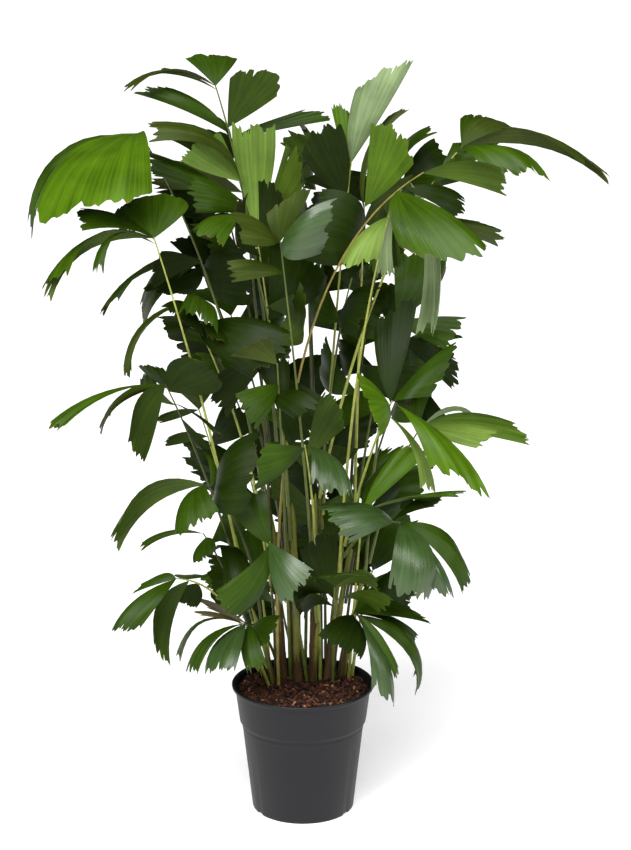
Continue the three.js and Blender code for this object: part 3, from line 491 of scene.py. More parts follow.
# Fronds whose leaflets were placed one by one: the start and the tip of the rib, how far across and up
# its middle is, and a row for each leaflet. Tips and corners are width, height and depth from the front
# Each row's look holds painted light besides the leaf's own green: dark and deep are painted shade, bright, pale and
# sheen painted highlight
placedFronds = {
    "top_left": (onCane(6, 0.98), (-154, 1377, 30), 0.22, 0.62, [
        ("deep", 1, (-206, 1426, 80), (-114, 1422, 95), 0.07, 0.14, 0.38),
        ("olive", 1, (-316, 1362, -10), (-305, 1370, -35), 0.2, 0.04, 2.28),
        ("olive", 0.985, (-253, 1400, 80), (-247, 1404, 60), 0.07, 0.02, 1.2),
        ("deep", 0.875, (-43, 1358, -35), (-126, 1390, 15), 0.01, 0.42, 0.2),
        ("deep", 0.86, (-299, 1366, 40), (-229, 1371, 60), 0.14, 0.06, 0.63),
        ("deep", 0.84, (50, 1317, 50), (-19, 1326, 75), 0.03, 0.15, 0.71),
        ("deep", 0.83, (-193, 1329, 55), (-165, 1324, 113), 0.17, 0.12, 0.3),
    ]),
    "left_fan": (onCane(0, 0.97), (-289, 1293, 20), 0.3, 0.62, [
        ("fresh", 1, (-477, 1168, -120), (-271, 1192, -200), 0.17, 0.44, 0.62),
        ("deep", 0.985, (-490, 1102, -5), (-484, 1144, 45), 0.27, 0, 1.1),
        ("dark", 0.93, (-322, 1190, 90), (-280, 1240, 100), 0.1, 0.04, 1),
        ("dark", 0.62, (-272, 1008, 16), (-254, 1079, 2), 0.1, 0.12, 0.3),
    ]),
    "upper_left": (onCane(0, 0.82), (-110, 1206, 0), 0.3, 0.62, [
        ("olive", 1, (-275, 1309, -4), (-290, 1274, -72), 0.24, 0.08, 1.28),
        ("bright", 1, (-216, 1242, -70), (-148, 1292, -30), 0.06, 0.14, 0.55),
        ("olive", 0.96, (-274, 1245, 73), (-263, 1194, 72), 0.21, 0.09, 1.28),
        ("deep", 0.93, (-280, 1262, -20), (-272, 1220, -30), 0.1, 0.06, 1.28),
        ("deep", 0.9, (-208, 1220, -70), (-193, 1148, -85), 0.12, 0.07, 0.55),
        ("mid", 0.86, (-205, 1112, -90), (-142, 1092, -110), 0.2, 0.12, 0.47),
    ]),
    "left_drooping": (onCane(4, 0.97), (-268, 1104, -150), 0.4, 0.56, [
        ("mid", 1, (-206, 1165, -91), (-338, 1150, -81), 0.12, 0.39, 1.39),
        ("mid", 1, (-461, 992, -200), (-428, 1038, -215), 0.26, 0.13, 0.92),
        ("deep", 0.99, (-340, 1102, -69), (-306, 1108, -64), 0.25, 0.04, 0.92),
        ("deep", 0.98, (-380, 1030, -225), (-362, 1040, -235), 0.34, 0.04, 0.83),
        ("deep", 1, (-397, 1117, -231), (-392, 1158, -134), 0.1, 0.12, 0.3),
    ]),
    "left_shaded": (onCane(6, 0.84), (-190, 1066, 110), 0.4, 0.6, [
        ("deep", 1, (-362, 962, 100), (-335, 985, 75), 0.16, 0.12, 3.12),
        ("olive", 0.98, (-291, 940, 139), (-286, 985, 219), 0.16, 0.03, 3.2),
        ("dark", 0.96, (-206, 997, 55), (-290, 1010, 90), 0.04, 0.14, 1.13),
        ("dark", 0.97, (-225, 1178, 150), (-140, 1120, 180), 0.12, 0.12, 0.97),
        ("dark", 0.94, (-95, 1082, 40), (-92, 980, 30), 0.22, 0.08, 1.5),
        ("dark", 0.89, (-265, 1118, 159), (-182, 1114, 178), 0.1, 0.12, 0.3),
    ]),
    "left_arched": (onCane(0, 0.7), (-212, 985, -40), 0.35, 0.62, [
        ("olive", 1, (-319, 860, -55), (-316, 843, -80), 0.24, 0.08, 1.38),
        ("dark", 1, (-256, 978, -87), (-181, 921, -106), 0.12, 0.12, 0.3),
        ("deep", 0.97, (-153, 930, -140), (-225, 965, -120), 0.27, 0.12, 0.47),
        ("dark", 0.9, (-173, 919, -128), (-140, 905, -132), 0.14, 0.04, 1.4),
        ("dark", 0.88, (-25, 932, -110), (-98, 846, -130), 0.17, 0.21, 0.97),
    ]),
    "left_hanging": (onCane(4, 0.82), (-252, 832, -90), 0.42, 0.6, [
        ("deep", 1, (-294, 684, -145), (-318, 746, -180), 0.07, 0.11, 2.4),
        ("mid", 1, (-458, 753, -100), (-436, 748, -140), 0.12, 0.11, 1),
        ("olive", 0.99, (-374, 738, -30), (-354, 768, -5), 0.16, 0.08, 1.59),
        ("dark", 0.97, (-301, 866, -70), (-256, 864, -60), 0.03, 0.06, 1.17),
        ("dark", 0.96, (-146, 837, -140), (-204, 880, -135), 0.04, 0.1, 3.2),
        ("dark", 0.9, (-153, 730, -145), (-162, 738, -160), 0.06, 0.1, 2.93),
        ("deep", 0.89, (-298, 837, -9), (-268, 864, -38), 0.23, 0.08, 0.75),
        ("dark", 0.83, (-168, 713, -67), (-195, 710, -70), 0.17, 0.12, 0.3),
    ]),
    "left_slender": (inSoil(-78, 62), (-191, 784, 60), 0.4, 0.6, [
        ("olive", 1, (-247, 834, 95), (-166, 819, 90), 0.1, 0.25, 0.3),
        ("deep", 1, (-265, 758, 45), (-263, 773, 45), 0.07, 0.1, 2.57),
        ("deep", 0.88, (-254, 713, 40), (-247, 733, 40), 0.12, 0.06, 2.4),
        ("dark", 0.84, (-90, 745, 88), (-140, 800, 112), 0.08, 0.16, 0.72),
    ]),
    "low_left_arched": (onCane(4, 0.62), (-180, 640, -100), 0.35, 0.75, [
        ("mid", 1, (-346, 512, -125), (-343, 566, -155), 0.24, 0.08, 1.37),
        ("deep", 1, (-238, 539, -205), (-156, 590, -205), 0.2, 0.19, 0.13),
        ("deep", 0.96, (-182, 705, -44), (-156, 657, -59), 0.12, 0.12, 0.3),
        ("dark", 0.9, (-82, 743, -130), (-106, 583, -170), 0.19, 0.23, 0.96),
    ]),
    "low_left_thin": (inSoil(-72, 40), (-186, 545, -20), 0.45, 0.66, [
        ("deep", 1, (-303, 510, -30), (-298, 525, -10), 0.16, 0.04, 1.08),
        ("deep", 0.96, (-204, 485, -65), (-163, 508, -60), 0.08, 0.12, 1.68),
        ("deep", 0.9, (-145, 592, 10), (-88, 568, 35), 0.16, 0.12, 0.55),
        ("dark", 0.84, (-148, 450, -130), (-88, 445, -120), 0.31, 0.12, 0.38),
    ]),
    "low_left": (inSoil(-64, 12), (-238, 456, -110), 0.4, 0.9, [
        ("deep", 1, (-322, 426, -105), (-282, 458, -85), 0.08, 0, 1.6),
        ("deep", 1, (-362, 357, -175), (-308, 356, -180), 0.14, 0.11, 1.66),
        ("deep", 0.88, (-256, 283, -130), (-283, 336, -160), 0.17, 0.04, 1.53),
        ("deep", 0.92, (-177, 461, -60), (-241, 464, -50), 0.01, 0.12, 0.8),
        ("dark", 0.8, (-233, 410, -70), (-203, 398, -50), 0.09, 0.1, 3.2),
    ]),
    "foot_left": (inSoil(-40, 30), (-112, 366, -80), 0.35, 0.9, [
        ("tired", 1, (-204, 392, -70), (-196, 382, -85), 0.07, 0.08, 3.2),
        ("deep", 1, (-224, 271, -120), (-200, 264, -140), 0.22, 0, 1.48),
        ("mid", 0.97, (-238, 292, -40), (-236, 295, -90), 0.26, 0, 0.75),
        ("sheen", 0.96, (-189, 270, -160), (-130, 273, -190), 0.12, 0.08, 1.65),
        ("tired", 0.94, (-198, 417, -21), (-182, 397, -9), 0.05, 0.1, 3.12),
        ("deep", 0.85, (-105, 266, -145), (-67, 278, -150), 0.24, 0.04, 1.4),
        ("deep", 0.8, (-40, 382, -95), (-80, 314, -130), 0.09, 0.16, 0.55),
    ]),
    "foot_right": (inSoil(66, 42), (100, 388, -70), 0.5, 0.85, [
        ("sheen", 1, (178, 202, -115), (134, 234, -135), 0.12, 0.1, 1.53),
        ("mid", 1, (174, 256, -90), (174, 292, -75), 0.14, 0.1, 1.41),
        ("deep", 0.98, (243, 363, -65), (216, 391, -25), 0.12, 0.01, 3.2),
        ("deep", 0.94, (218, 326, -20), (210, 346, 25), 0.12, 0, 1.23),
        ("deep", 0.9, (211, 221, -50), (215, 262, -20), 0.3, 0.04, 1.73),
        ("dark", 0.86, (32, 345, -150), (110, 295, -130), 0.1, 0.14, 1.05),
        ("deep", 0.82, (150, 420, 20), (118, 445, 40), 0.08, 0.12, 0.3),
    ]),
    "low_right": (onCane(3, 0.9), (182, 566, -100), 0.45, 0.9, [
        ("sheen", 1, (240, 418, -180), (160, 437, -200), 0.29, 0.12, 1.7),
        ("deep", 1, (302, 426, -135), (307, 482, -95), 0.24, 0.06, 1.75),
        ("sheen", 0.99, (300, 424, -150), (243, 433, -160), 0.2, 0.04, 1.5),
        ("sheen", 0.9, (28, 597, -205), (88, 528, -215), 0.16, 0.12, 0.6),
        ("dark", 0.86, (252, 615, -10), (246, 595, -40), 0.14, 0.16, 3.2),
    ]),
    "right_bright": (inSoil(88, 54), (112, 588, -60), 0.5, 0.6, [
        ("fresh", 1, (232, 700, -45), (178, 712, -20), 0.06, 0.11, 0.78),
        ("fresh", 1, (290, 618, -70), (281, 620, -95), 0.06, 0.12, 3.2),
        ("deep", 0.98, (182, 677, 0), (128, 661, 23), 0.09, 0.12, 0.5),
        ("dark", 0.93, (183, 595, 15), (172, 656, 25), 0.01, 0.05, 0.38),
    ]),
    "right_glossy": (onCane(3, 0.98), (164, 798, -110), 0.45, 0.6, [
        ("deep", 1, (279, 914, -55), (238, 808, -115), 0.11, 0.18, 0.4),
        ("fresh", 1, (351, 612, -200), (238, 672, -205), 0.11, 0.1, 0.9),
        ("dark", 0.985, (211, 995, -40), (130, 943, -40), 0.03, 0.07, 0.73),
        ("fresh", 0.97, (147, 734, -195), (100, 853, -155), 0.06, 0.25, 0.4),
        ("lime", 0.9, (220, 633, -140), (249, 632, -110), 0.15, 0.08, 0.32),
    ]),
    "right_level": (onCane(5, 0.97), (223, 755, -10), 0.42, 0.7, [
        ("fresh", 1, (422, 717, -30), (382, 762, -30), 0.14, 0.06, 1.82),
        ("lime", 1, (366, 746, -80), (320, 713, -90), 0.01, 0.1, 1.47),
        ("pale", 0.97, (319, 757, 49), (306, 767, 60), 0.3, 0.1, 1.67),
        ("deep", 0.92, (211, 820, 60), (252, 851, 50), 0.12, 0.12, 0.63),
    ]),
    "right_back": (onCane(5, 0.84), (170, 950, 60), 0.4, 0.6, [
        ("mid", 1, (298, 958, 30), (268, 894, 10), 0.05, 0.02, 0.42),
        ("deep", 1, (262, 1050, 135), (167, 1063, 90), 0.14, 0.23, 0.8),
        ("dark", 0.95, (278, 890, 85), (276, 820, 80), 0.12, 0.12, 0.3),
        ("deep", 0.92, (90, 985, 55), (91, 920, 24), 0.16, 0.14, 0.8),
    ]),
    "right_arching": (onCane(2, 0.98), (286, 1268, -40), 0.36, 0.72, [
        ("olive", 1, (550, 1198, -35), (501, 1240, -65), 0.2, 0.09, 1.53),
        ("olive", 1, (392, 1294, 20), (328, 1317, 55), 0.18, 0.02, 1.3),
        ("deep", 1, (331, 1319, 40), (282, 1318, 35), 0.08, 0.12, 0.38),
        ("mid", 0.97, (446, 1212, -140), (350, 1205, -150), 0.18, 0, 1.58),
        ("deep", 0.83, (354, 1275, 12), (270, 1275, -3), 0.17, 0.12, 0.38),
    ]),
    "right_front": (inSoil(-46, 8), (217, 1221, -150), -0.15, 0.8, [
        ("mid", 1, (369, 1182, -190), (358, 1230, -215), 0.1, 0.01, 1.35),
        ("mid", 0.92, (334, 1091, -230), (174, 1090, -200), 0.1, 0.37, 0.65),
        ("deep", 0.87, (120, 1043, -70), (181, 1058, -80), 0.12, 0.12, 0.38),
        ("dark", 0.93, (276, 1139, -120), (282, 1183, -90), 0.16, 0.16, 0.77),
        ("deep", 0.95, (117, 1158, -110), (144, 1216, -110), 0.12, 0.12, 0.3),
        ("pale", 0.94, (143, 960, -77), (183, 967, -72), 0.12, 0.05, 0.3),
        ("pale", 0.96, (214, 932, -40), (244, 956, -80), 0.12, 0.12, 0.85),
    ]),
    "right_pale": (onCane(3, 0.78), (156, 1143, -150), 0.35, 0.62, [
        ("lime", 1, (68, 1052, -215), (138, 1068, -215), 0.16, 0.2, 0.6),
        ("olive", 1, (363, 1092, -29), (313, 1132, -41), 0.05, 0.11, 0.38),
    ]),
    "top_spear": (onCane(7, 0.98), (88, 1240, 40), 0.3, 0.5, [
        ("pale", 1, (198, 1422, 55), (94, 1368, 60), 0.07, 0.1, 0.64, 0.1),
        ("fresh", 0.97, (52, 1338, 70), (84, 1328, 65), 0.04, 0.12, 0.58),
        ("deep", 0.94, (-40, 1274, 30), (28, 1292, 40), 0.05, 0.12, 0.38),
        ("dark", 0.91, (69, 1308, -10), (0, 1252, -20), 0.03, 0.19, 1.05),
    ]),
    "top_bright": (onCane(8, 0.98), (112, 1160, 20), 0.35, 0.5, [
        ("fresh", 1, (124, 1309, -5), (202, 1238, -30), 0.05, 0.2, 0.3),
        ("olive", 0.99, (182, 1338, 55), (161, 1306, 75), 0.15, 0.03, 1.09),
        ("deep", 0.95, (200, 1218, 90), (180, 1122, 90), 0.19, 0.12, 0.47),
        ("dark", 0.9, (38, 1203, -21), (10, 1068, -71), 0.3, 0.1, 1.64),
        ("dark", 0.54, (192, 788, 23), (212, 866, 11), 0.23, 0.12, 0.3),
        ("deep", 0.45, (29, 933, 165), (27, 828, 165), 0.1, 0.14, 0.5),
    ]),
    "top_pleated": (onCane(1, 0.98), (-84, 1120, 10), 0.3, 0.5, [
        ("bright", 1, (-125, 1312, 10), (-48, 1310, 10), 0.07, 0, 1.3, -0.06),
        ("mid", 0.97, (-28, 1274, -25), (3, 1197, -40), 0.05, 0.12, 0.38),
        ("dark", 0.93, (-80, 1205, -57), (-31, 1175, -74), 0.05, 0.12, 0.38),
        ("dark", 0.9, (-121, 1100, -113), (-99, 1185, -99), 0.12, 0.12, 0.38),
    ]),
    "front_pair": (onCane(9, 0.98), (-40, 1098, -120), 0.35, 0.5, [
        ("olive", 1, (-129, 1150, -150), (-108, 1094, -190), 0.08, 0.04, 1.65),
        ("olive", 1, (17, 1192, -100), (-64, 1146, -120), 0.05, 0.2, 0.55),
        ("sheen", 0.99, (60, 1175, -170), (35, 1075, -160), 0.21, 0.12, 1.33),
        ("olive", 0.92, (-138, 1058, -140), (-126, 1024, -160), 0.12, 0.04, 1.58),
    ]),
    "front_high": (inSoil(-24, 46), (-46, 870, -150), 0.4, 0.55, [
        ("olive", 1, (-132, 884, -180), (-62, 918, -170), 0.08, 0.12, 0.3),
        ("deep", 0.93, (-124, 813, -200), (-84, 747, -210), 0.14, 0.14, 0.3),
        ("dark", 0.9, (34, 795, -210), (-12, 764, -200), 0.19, 0.11, 1.5),
        ("dark", 0.83, (-90, 875, -112), (-24, 877, -79), 0.1, 0.12, 0.3),
    ]),
    "front_middle": (inSoil(33, 40), (4, 716, -150), 0.4, 0.65, [
        ("sheen", 1, (94, 615, -215), (14, 640, -245), 0.21, 0.12, 0.63),
        ("deep", 0.98, (-88, 626, -200), (-72, 720, -190), 0.1, 0.12, 0.3),
        ("deep", 0.93, (40, 815, -160), (78, 752, -150), 0.14, 0.16, 0.92),
    ]),
    "front_low": (inSoil(8, 30), (-62, 528, -160), 0.4, 0.75, [
        ("sheen", 1, (-40, 403, -220), (19, 473, -225), 0.12, 0.14, 0.38),
        ("deep", 0.98, (-162, 431, -220), (-107, 387, -195), 0.18, 0.21, 0.63),
        ("deep", 0.94, (-128, 592, -110), (-70, 630, -135), 0.12, 0.14, 0.63),
    ]),
}

# Fronds that fill the crown's inside, sides and back by the rule: the start and the tip of the rib,
# the size and the number of its leaflets, and rows of placed ones besides. Any look is drawn by seed,
# mostly dark and deep as painted shade of the crown's inside
ruledFronds = {
    "back_01": (onCane(7, 0.86), (0, 1230, 150), 150, 5, [
        ("any", 0.95, (134, 1160, 130), (118, 1220, 122), 0.1, 0.04, 1),
    ]),
    "back_02": (onCane(6, 0.7), (-150, 1200, 190), 150, 5, []),
    "back_03": (onCane(8, 0.86), (180, 1200, 200), 150, 5, [
        ("any", 0.95, (296, 1209, 211), (236, 1285, 249), 0.23, 0, 0.83),
    ]),
    "back_04": (onCane(7, 0.72), (10, 1080, 360), 160, 5, []),
    "back_05": (onCane(6, 0.56), (-130, 960, 340), 160, 5, []),
    "back_06": (onCane(8, 0.7), (160, 940, 330), 150, 5, []),
    "back_07": (inSoil(4, 112), (20, 790, 370), 160, 5, []),
    "back_08": (inSoil(-44, 96), (-110, 700, 290), 150, 5, []),
    "back_09": (inSoil(74, 82), (128, 630, 250), 135, 5, [
        ("any", 0.89, (186, 714, 197), (131, 703, 243), 0.3, 0.04, 1),
    ]),
    "back_10": (inSoil(44, 104), (40, 540, 310), 140, 5, []),
    "back_11": (inSoil(-64, 74), (-84, 470, 200), 130, 5, []),
    "back_12": (inSoil(94, 60), (134, 480, 170), 130, 5, [
        ("any", 0.95, (153, 601, 155), (233, 541, 114), 0.23, 0.16, 0.3),
    ]),
    "back_13": (inSoil(-10, 112), (-40, 420, 230), 125, 5, []),
    "front_02": (inSoil(58, 30), (60, 440, -120), 115, 5, [
        ("any", 0.77, (63, 551, -91), (-7, 517, -112), 0.1, 0.04, 1),
    ]),
    "side_01": (onCane(1, 0.8), (-80, 1030, -20), 150, 5, [
        ("any", 0.77, (47, 1030, 64), (-59, 1100, 26), 0.18, 0.12, 0.8),
        ("any", 0.62, (-138, 771, -16), (-172, 841, -40), 0.12, 0.12, 0.3),
        ("any", 0.54, (-24, 711, -31), (61, 787, -43), 0.07, 0.12, 0.63),
    ]),
    "side_02": (onCane(2, 0.84), (90, 1030, 90), 150, 5, []),
    "side_03": (onCane(8, 0.5), (200, 860, 140), 140, 4, [
        ("any", 1, (282, 744, 81), (228, 734, 112), 0.1, 0.04, 1),
    ]),
    "side_04": (onCane(6, 0.4), (-150, 860, 120), 140, 4, []),
    "side_05": (inSoil(36, 76), (30, 640, 70), 140, 6, []),
    "side_06": (inSoil(-52, 44), (-60, 460, 20), 120, 5, []),
}

fronds = [frondOf(name, *values) for name, values in placedFronds.items()]
for name, (start, tip, size, count, rows) in ruledFronds.items():
    frond = frondOf(name, start, tip, ribRule["bend"], ribRule["swell"], rows)
    fronds.append({**frond, "size": size, "count": count})
for i, frond in enumerate(fronds):
    frond["seed"] = i + 1


def cornersOf(node):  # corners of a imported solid, in mm
    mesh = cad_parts[node].data
    corners = np.zeros(len(mesh.vertices) * 3, np.float32)
    mesh.vertices.foreach_get("co", corners)
    return corners.reshape(-1, 3).astype(float) * mmPerMetre


for frond in fronds:
    corners = cornersOf(frond["name"])
    frond["arch"], off = standingArch(frond, corners)
    if off > ribRule["match"]:
        print("rib not found:", frond["name"], round(off, 2))
    plans = ruledLeaves(frond) + frond["leaves"]
    bases = [archPoints(frond["arch"], min(plan["at"], leafRule["last"]))[0] for plan in plans]
    shapes = [standingLeaf(plan, base, corners) for plan, base in zip(plans, bases)]
    frond["shapes"] = [shape for shape in shapes if shape]
    if len(frond["shapes"]) < len(plans):
        print("leaflets that the solid lacks:", frond["name"], len(plans) - len(frond["shapes"]))
print("rule repeated:", len(fronds), "fronds,", sum(len(frond["shapes"]) for frond in fronds), "leaflets")


# Leaf greens: colour of the face and of its back, roughness, gloss, and how much lighter the veins are.
# Besides each leaf's own green they hold painted light: dark and deep are painted shade for leaflets
# in the crown's shade, and bright, pale and the grey of sheen are painted highlight on leaflets facing the light
leafLooks = {
    "dark": ((0.0076, 0.0160, 0.0006), (0.011, 0.020, 0.002), 0.36, 0.08, 1.8),
    "deep": ((0.0165, 0.0370, 0.0010), (0.021, 0.039, 0.003), 0.34, 0.11, 1.8),
    "mid": ((0.0260, 0.0570, 0.0012), (0.033, 0.060, 0.003), 0.32, 0.15, 1.6),
    "fresh": ((0.0430, 0.0930, 0.0022), (0.049, 0.095, 0.005), 0.32, 0.12, 1.5),
    "bright": ((0.0790, 0.1430, 0.0150), (0.084, 0.146, 0.018), 0.34, 0.20, 1.4),
    "lime": ((0.0920, 0.1480, 0.0210), (0.100, 0.155, 0.025), 0.42, 0.20, 1.35),
    "pale": ((0.1280, 0.1780, 0.0760), (0.134, 0.184, 0.080), 0.42, 0.25, 1.25),
    "olive": ((0.0230, 0.0360, 0.0030), (0.028, 0.040, 0.005), 0.42, 0.11, 1.5),
    "sheen": ((0.0230, 0.0480, 0.0090), (0.028, 0.046, 0.010), 0.29, 0.52, 1.5),
    "tired": ((0.0440, 0.0380, 0.0100), (0.050, 0.042, 0.012), 0.50, 0.15, 1.3),
}
# Looks of the other leaflets, and how often each comes. These fill the crown's inside, sides and back, so dark and
# deep
# come most: painted shade of the crown's inside, besides the leaves' own greens
leafMixWithPaintedShade = {"dark": 0.42, "deep": 0.38, "mid": 0.14, "fresh": 0.06}
# How a leaflet is painted: its veins, its noises, how they mix, its dry edge, its roughness and its relief
leafPaint = {
    "veins": 30, "veinStray": 0.012, "veinShow": 0.35, "veinSharpness": 4,
    "stray": (9, 2), "stretch": (16.0, 0.8, 1.0), "streak": (1, 4), "blotch": (15, 3), "wrinkle": (55, 3),
    "streakShare": 0.55, "blotchShare": 0.45, "tone": (0.36, 0.64), "shades": (0.62, 1.45),
    "dryEdge": 0.05, "dryRange": (1.024, 1.036), "dryShow": 0.7, "dry": (0.16, 0.10, 0.035),
    "roughBlotch": 0.3, "roughStreak": 0.12, "roughBack": 0.12, "wrinkleHeight": 7, "bump": (0.11, 0.0006),
}
# Measures of a blade: depths and heights are shares of its length, turns are waves across it
leafDetail = {
    "columns": 44, "rows": 9,           # across it, and from its root to its outer edge
    "thickness": 0.6, "rootShare": 0.012,
    "tooth": (1.6, 5.5),                # columns
    "toothDepth": 0.050, "toothSpread": (0.1, 1), "toothPower": 1.5,
    "lobeTurns": (1.5, 3.5), "notchTurns": (4, 7), "notchShare": 0.4, "lobeDepth": 0.055,
    "splits": 3, "splitMargin": 4, "splitDepth": 0.13, "splitSpread": (0.2, 1), "splitPower": 2,
    "biteRise": 12, "bitePower": 3,     # how soon bites begin at the edge's ends, how near the edge they stay
    "pleats": 11, "pleatHeight": 0.0008,
    "waveTurns": (0.6, 1.5), "wave": 0.022, "rippleTurns": (2, 3.5), "rippleShare": 0.4,
    "twist": 0.05, "hang": 0.02,        # of the outer edge, and of the side margins
}


def leafMaterial(name, colour, rough, gloss, veinShare):
    material, place = newMaterial(name)
    surface = place.node("TexCoord", {}, {}, output=2)
    across = place.node("SeparateXYZ", {}, {0: surface})
    outward = place.node("SeparateXYZ", {}, {0: surface}, output=1)
    stray = noise(place, *leafPaint["stray"])
    turn = (across + leafPaint["veinStray"] * stray) * (2 * math.pi * leafPaint["veins"])
    fold = place.math("COSINE", turn)
    vein = (fold * 0.5 + 0.5) ** leafPaint["veinSharpness"]
    streak = noise(stretched(surface, leafPaint["stretch"]), *leafPaint["streak"])
    blotch = noise(place, *leafPaint["blotch"])
    patches = streak * leafPaint["streakShare"] + blotch * leafPaint["blotchShare"]
    base = shaded(ranged(patches, *leafPaint["tone"]), colour, leafPaint["shades"])
    base = (vein * leafPaint["veinShow"]).mixed(base, opaque(colour, veinShare))
    dry = ranged(outward + leafPaint["dryEdge"] * blotch, *leafPaint["dryRange"])
    base = (dry * leafPaint["dryShow"]).mixed(base, opaque(leafPaint["dry"]))
    roughness = rough + leafPaint["roughBlotch"] * (blotch - 0.5) + leafPaint["roughStreak"] * streak
    height = fold + leafPaint["wrinkleHeight"] * noise(place, *leafPaint["wrinkle"])
    finishMaterial(place, base, roughness, gloss, leafPaint["bump"], height)
    return material


leafFinishes = []
for look, (face, back, rough, gloss, veinShare) in leafLooks.items():
    leafFinishes.append(leafMaterial("leafFace_" + look, face, rough, gloss, veinShare))
    leafFinishes.append(leafMaterial("leafBack_" + look, back, rough + leafPaint["roughBack"], gloss, veinShare))
lookNumbers = {look: 2 * i for i, look in enumerate(leafLooks)}


# Corner numbers of a closed slab: an upper grid, the same grid below turned over, and a wall round both
def slabFaces(columns, rows):
    wide = columns + 1
    row, column = np.meshgrid(np.arange(rows), np.arange(columns), indexing="ij")
    here = (row * wide + column).ravel()
    under = wide * (rows + 1)
    upper = np.stack([here, here + wide, here + wide + 1, here + 1], axis=1)
    lower = upper[:, ::-1] + under
    rim = np.concatenate([
        np.arange(columns), np.arange(rows) * wide + columns,
        rows * wide + np.arange(columns, 0, -1), np.arange(rows, 0, -1) * wide,
    ])
    after = np.roll(rim, -1)
    wall = np.stack([rim, after, after + under, rim + under], axis=1)
    return upper, lower, wall


upperFaces, lowerFaces, wallFaces = slabFaces(leafDetail["columns"], leafDetail["rows"])


# Sine wave across a blade, with a number of turns drawn from a range and a start of its own
def waveOf(dice, turns, u):
    return np.sin(2 * np.pi * (dice.uniform(*turns) * u + dice.uniform()))


# Bitten outer edge of a blade: how far it falls short of its full length at each column,
# as teeth between random knots, which rise slowly and drop at once, a few shallow lobes and some splits
def bittenEdge(dice):
    columns = leafDetail["columns"]
    column = np.arange(columns + 1)
    u = column / columns
    knots = np.cumsum(dice.uniform(*leafDetail["tooth"], columns))
    knots = np.concatenate([[0], knots[knots < columns], [columns]])
    depth = dice.uniform(*leafDetail["toothSpread"], len(knots)) ** leafDetail["toothPower"]
    starts = np.minimum(np.searchsorted(knots, column, side="right") - 1, len(knots) - 2)
    teeth = depth[starts] * ((column - knots[starts]) / (knots[starts + 1] - knots[starts]))
    lobes = 0.5 + 0.5 * waveOf(dice, leafDetail["lobeTurns"], u)
    lobes = lobes + leafDetail["notchShare"] * waveOf(dice, leafDetail["notchTurns"], u)
    ends = np.clip(np.minimum(u, 1 - u) * leafDetail["biteRise"], 0, 1)
    margin = leafDetail["splitMargin"]
    splits = np.zeros(columns + 1)
    at = dice.integers(margin, columns + 1 - margin, leafDetail["splits"])
    splits[at] = dice.uniform(*leafDetail["splitSpread"], len(at)) ** leafDetail["splitPower"]
    bite = leafDetail["toothDepth"] * teeth + leafDetail["lobeDepth"] * np.clip(lobes, 0, None)
    bite = bite + leafDetail["splitDepth"] * splits
    return (bite * ends)[None, :]


# Blade of a leaflet. With u across from tail to heel and v outwards, and t = 1/2 + (u - 1/2)(1 + belly(1 - v)):
# point = base + v * (tail way * (1 - t) + heel way * t) * (1 + 4 bulge u(1 - u))
#       + normal * length * (4 bow v(1 - v) + 4 cup v u(1 - u) + pleats + wave + ripple + twist - hang)
# and v falls short of the outer edge by the depth of the bites there
def blade(shape, dice, look):
    columns, rows = leafDetail["columns"], leafDetail["rows"]
    u = np.linspace(0, 1, columns + 1)[None, :]
    out = np.linspace(leafDetail["rootShare"], 1, rows + 1)[:, None]
    v = out - bittenEdge(dice) * out ** leafDetail["bitePower"]
    t = 0.5 + (u - 0.5) * (1 + shape["belly"] * (1 - v))
    swell = 1 + shape["bulge"] * 4 * u * (1 - u)
    way = shape["tailWay"] * (1 - t)[:, :, None] + shape["heelWay"] * t[:, :, None]
    lift = shape["bow"] * 4 * v * (1 - v) + shape["cup"] * 4 * v * u * (1 - u)
    fold = np.abs((u * leafDetail["pleats"]) % 1 * 2 - 1) - 0.5
    lift = lift + leafDetail["pleatHeight"] * 2 * fold * v ** 0.5
    lift = lift + leafDetail["wave"] * waveOf(dice, leafDetail["waveTurns"], u) * v ** 2
    lift = lift + leafDetail["wave"] * leafDetail["rippleShare"] * waveOf(dice, leafDetail["rippleTurns"], u) * v ** 3
    lift = lift + leafDetail["twist"] * dice.uniform(-1, 1) * (u - 0.5) * v ** 2
    lift = lift - leafDetail["hang"] * (2 * u - 1) ** 2 * v
    middle = shape["base"] + way * (v * swell)[:, :, None] + shape["normal"] * (shape["length"] * lift)[:, :, None]
    half = shape["normal"] * leafDetail["thickness"] / 2
    points = np.concatenate([(middle + half).reshape(-1, 3), (middle - half).reshape(-1, 3)])
    faces = np.concatenate([upperFaces, lowerFaces, wallFaces])
    if shape["flipped"]:
        faces = faces[:, ::-1]
    number = lookNumbers[look]
    finish = np.repeat([number, number + 1, number], [len(upperFaces), len(lowerFaces), len(wallFaces)])
    uv = np.stack(np.broadcast_arrays(u, out), axis=-1).reshape(-1, 2)
    return {"points": points, "faces": faces, "finish": finish, "uv": np.concatenate([uv, uv])}


def leafPiece(name, members):
    blades = []
    for frond in members:
        dice = np.random.default_rng(frond["seed"])
        for shape in frond["shapes"]:
            usual = dice.choice(list(leafMixWithPaintedShade), p=list(leafMixWithPaintedShade.values()))
            blades.append(blade(shape, dice, usual if shape["look"] == "any" else shape["look"]))
    leaves = joined(blades)
    piece = meshFrom(name, leaves, leafFinishes)
    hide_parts(*[frond["name"] for frond in members])
    print(name, len(leaves["faces"]) * 2, "triangles")


leafGroups = {
    "leaflets_left": ("frond_left", "frond_upper", "frond_low_left", "frond_foot_left"),
    "leaflets_right": ("frond_right", "frond_low_right", "frond_foot_right"),
    "leaflets_top": ("frond_top",),
    "leaflets_front": ("frond_front",),
    "leaflets_back": ("frond_back",),
    "leaflets_inner": ("frond_side",),
}
for group, starts in leafGroups.items():
    leafPiece(group, [frond for frond in fronds if frond["name"].startswith(starts)])


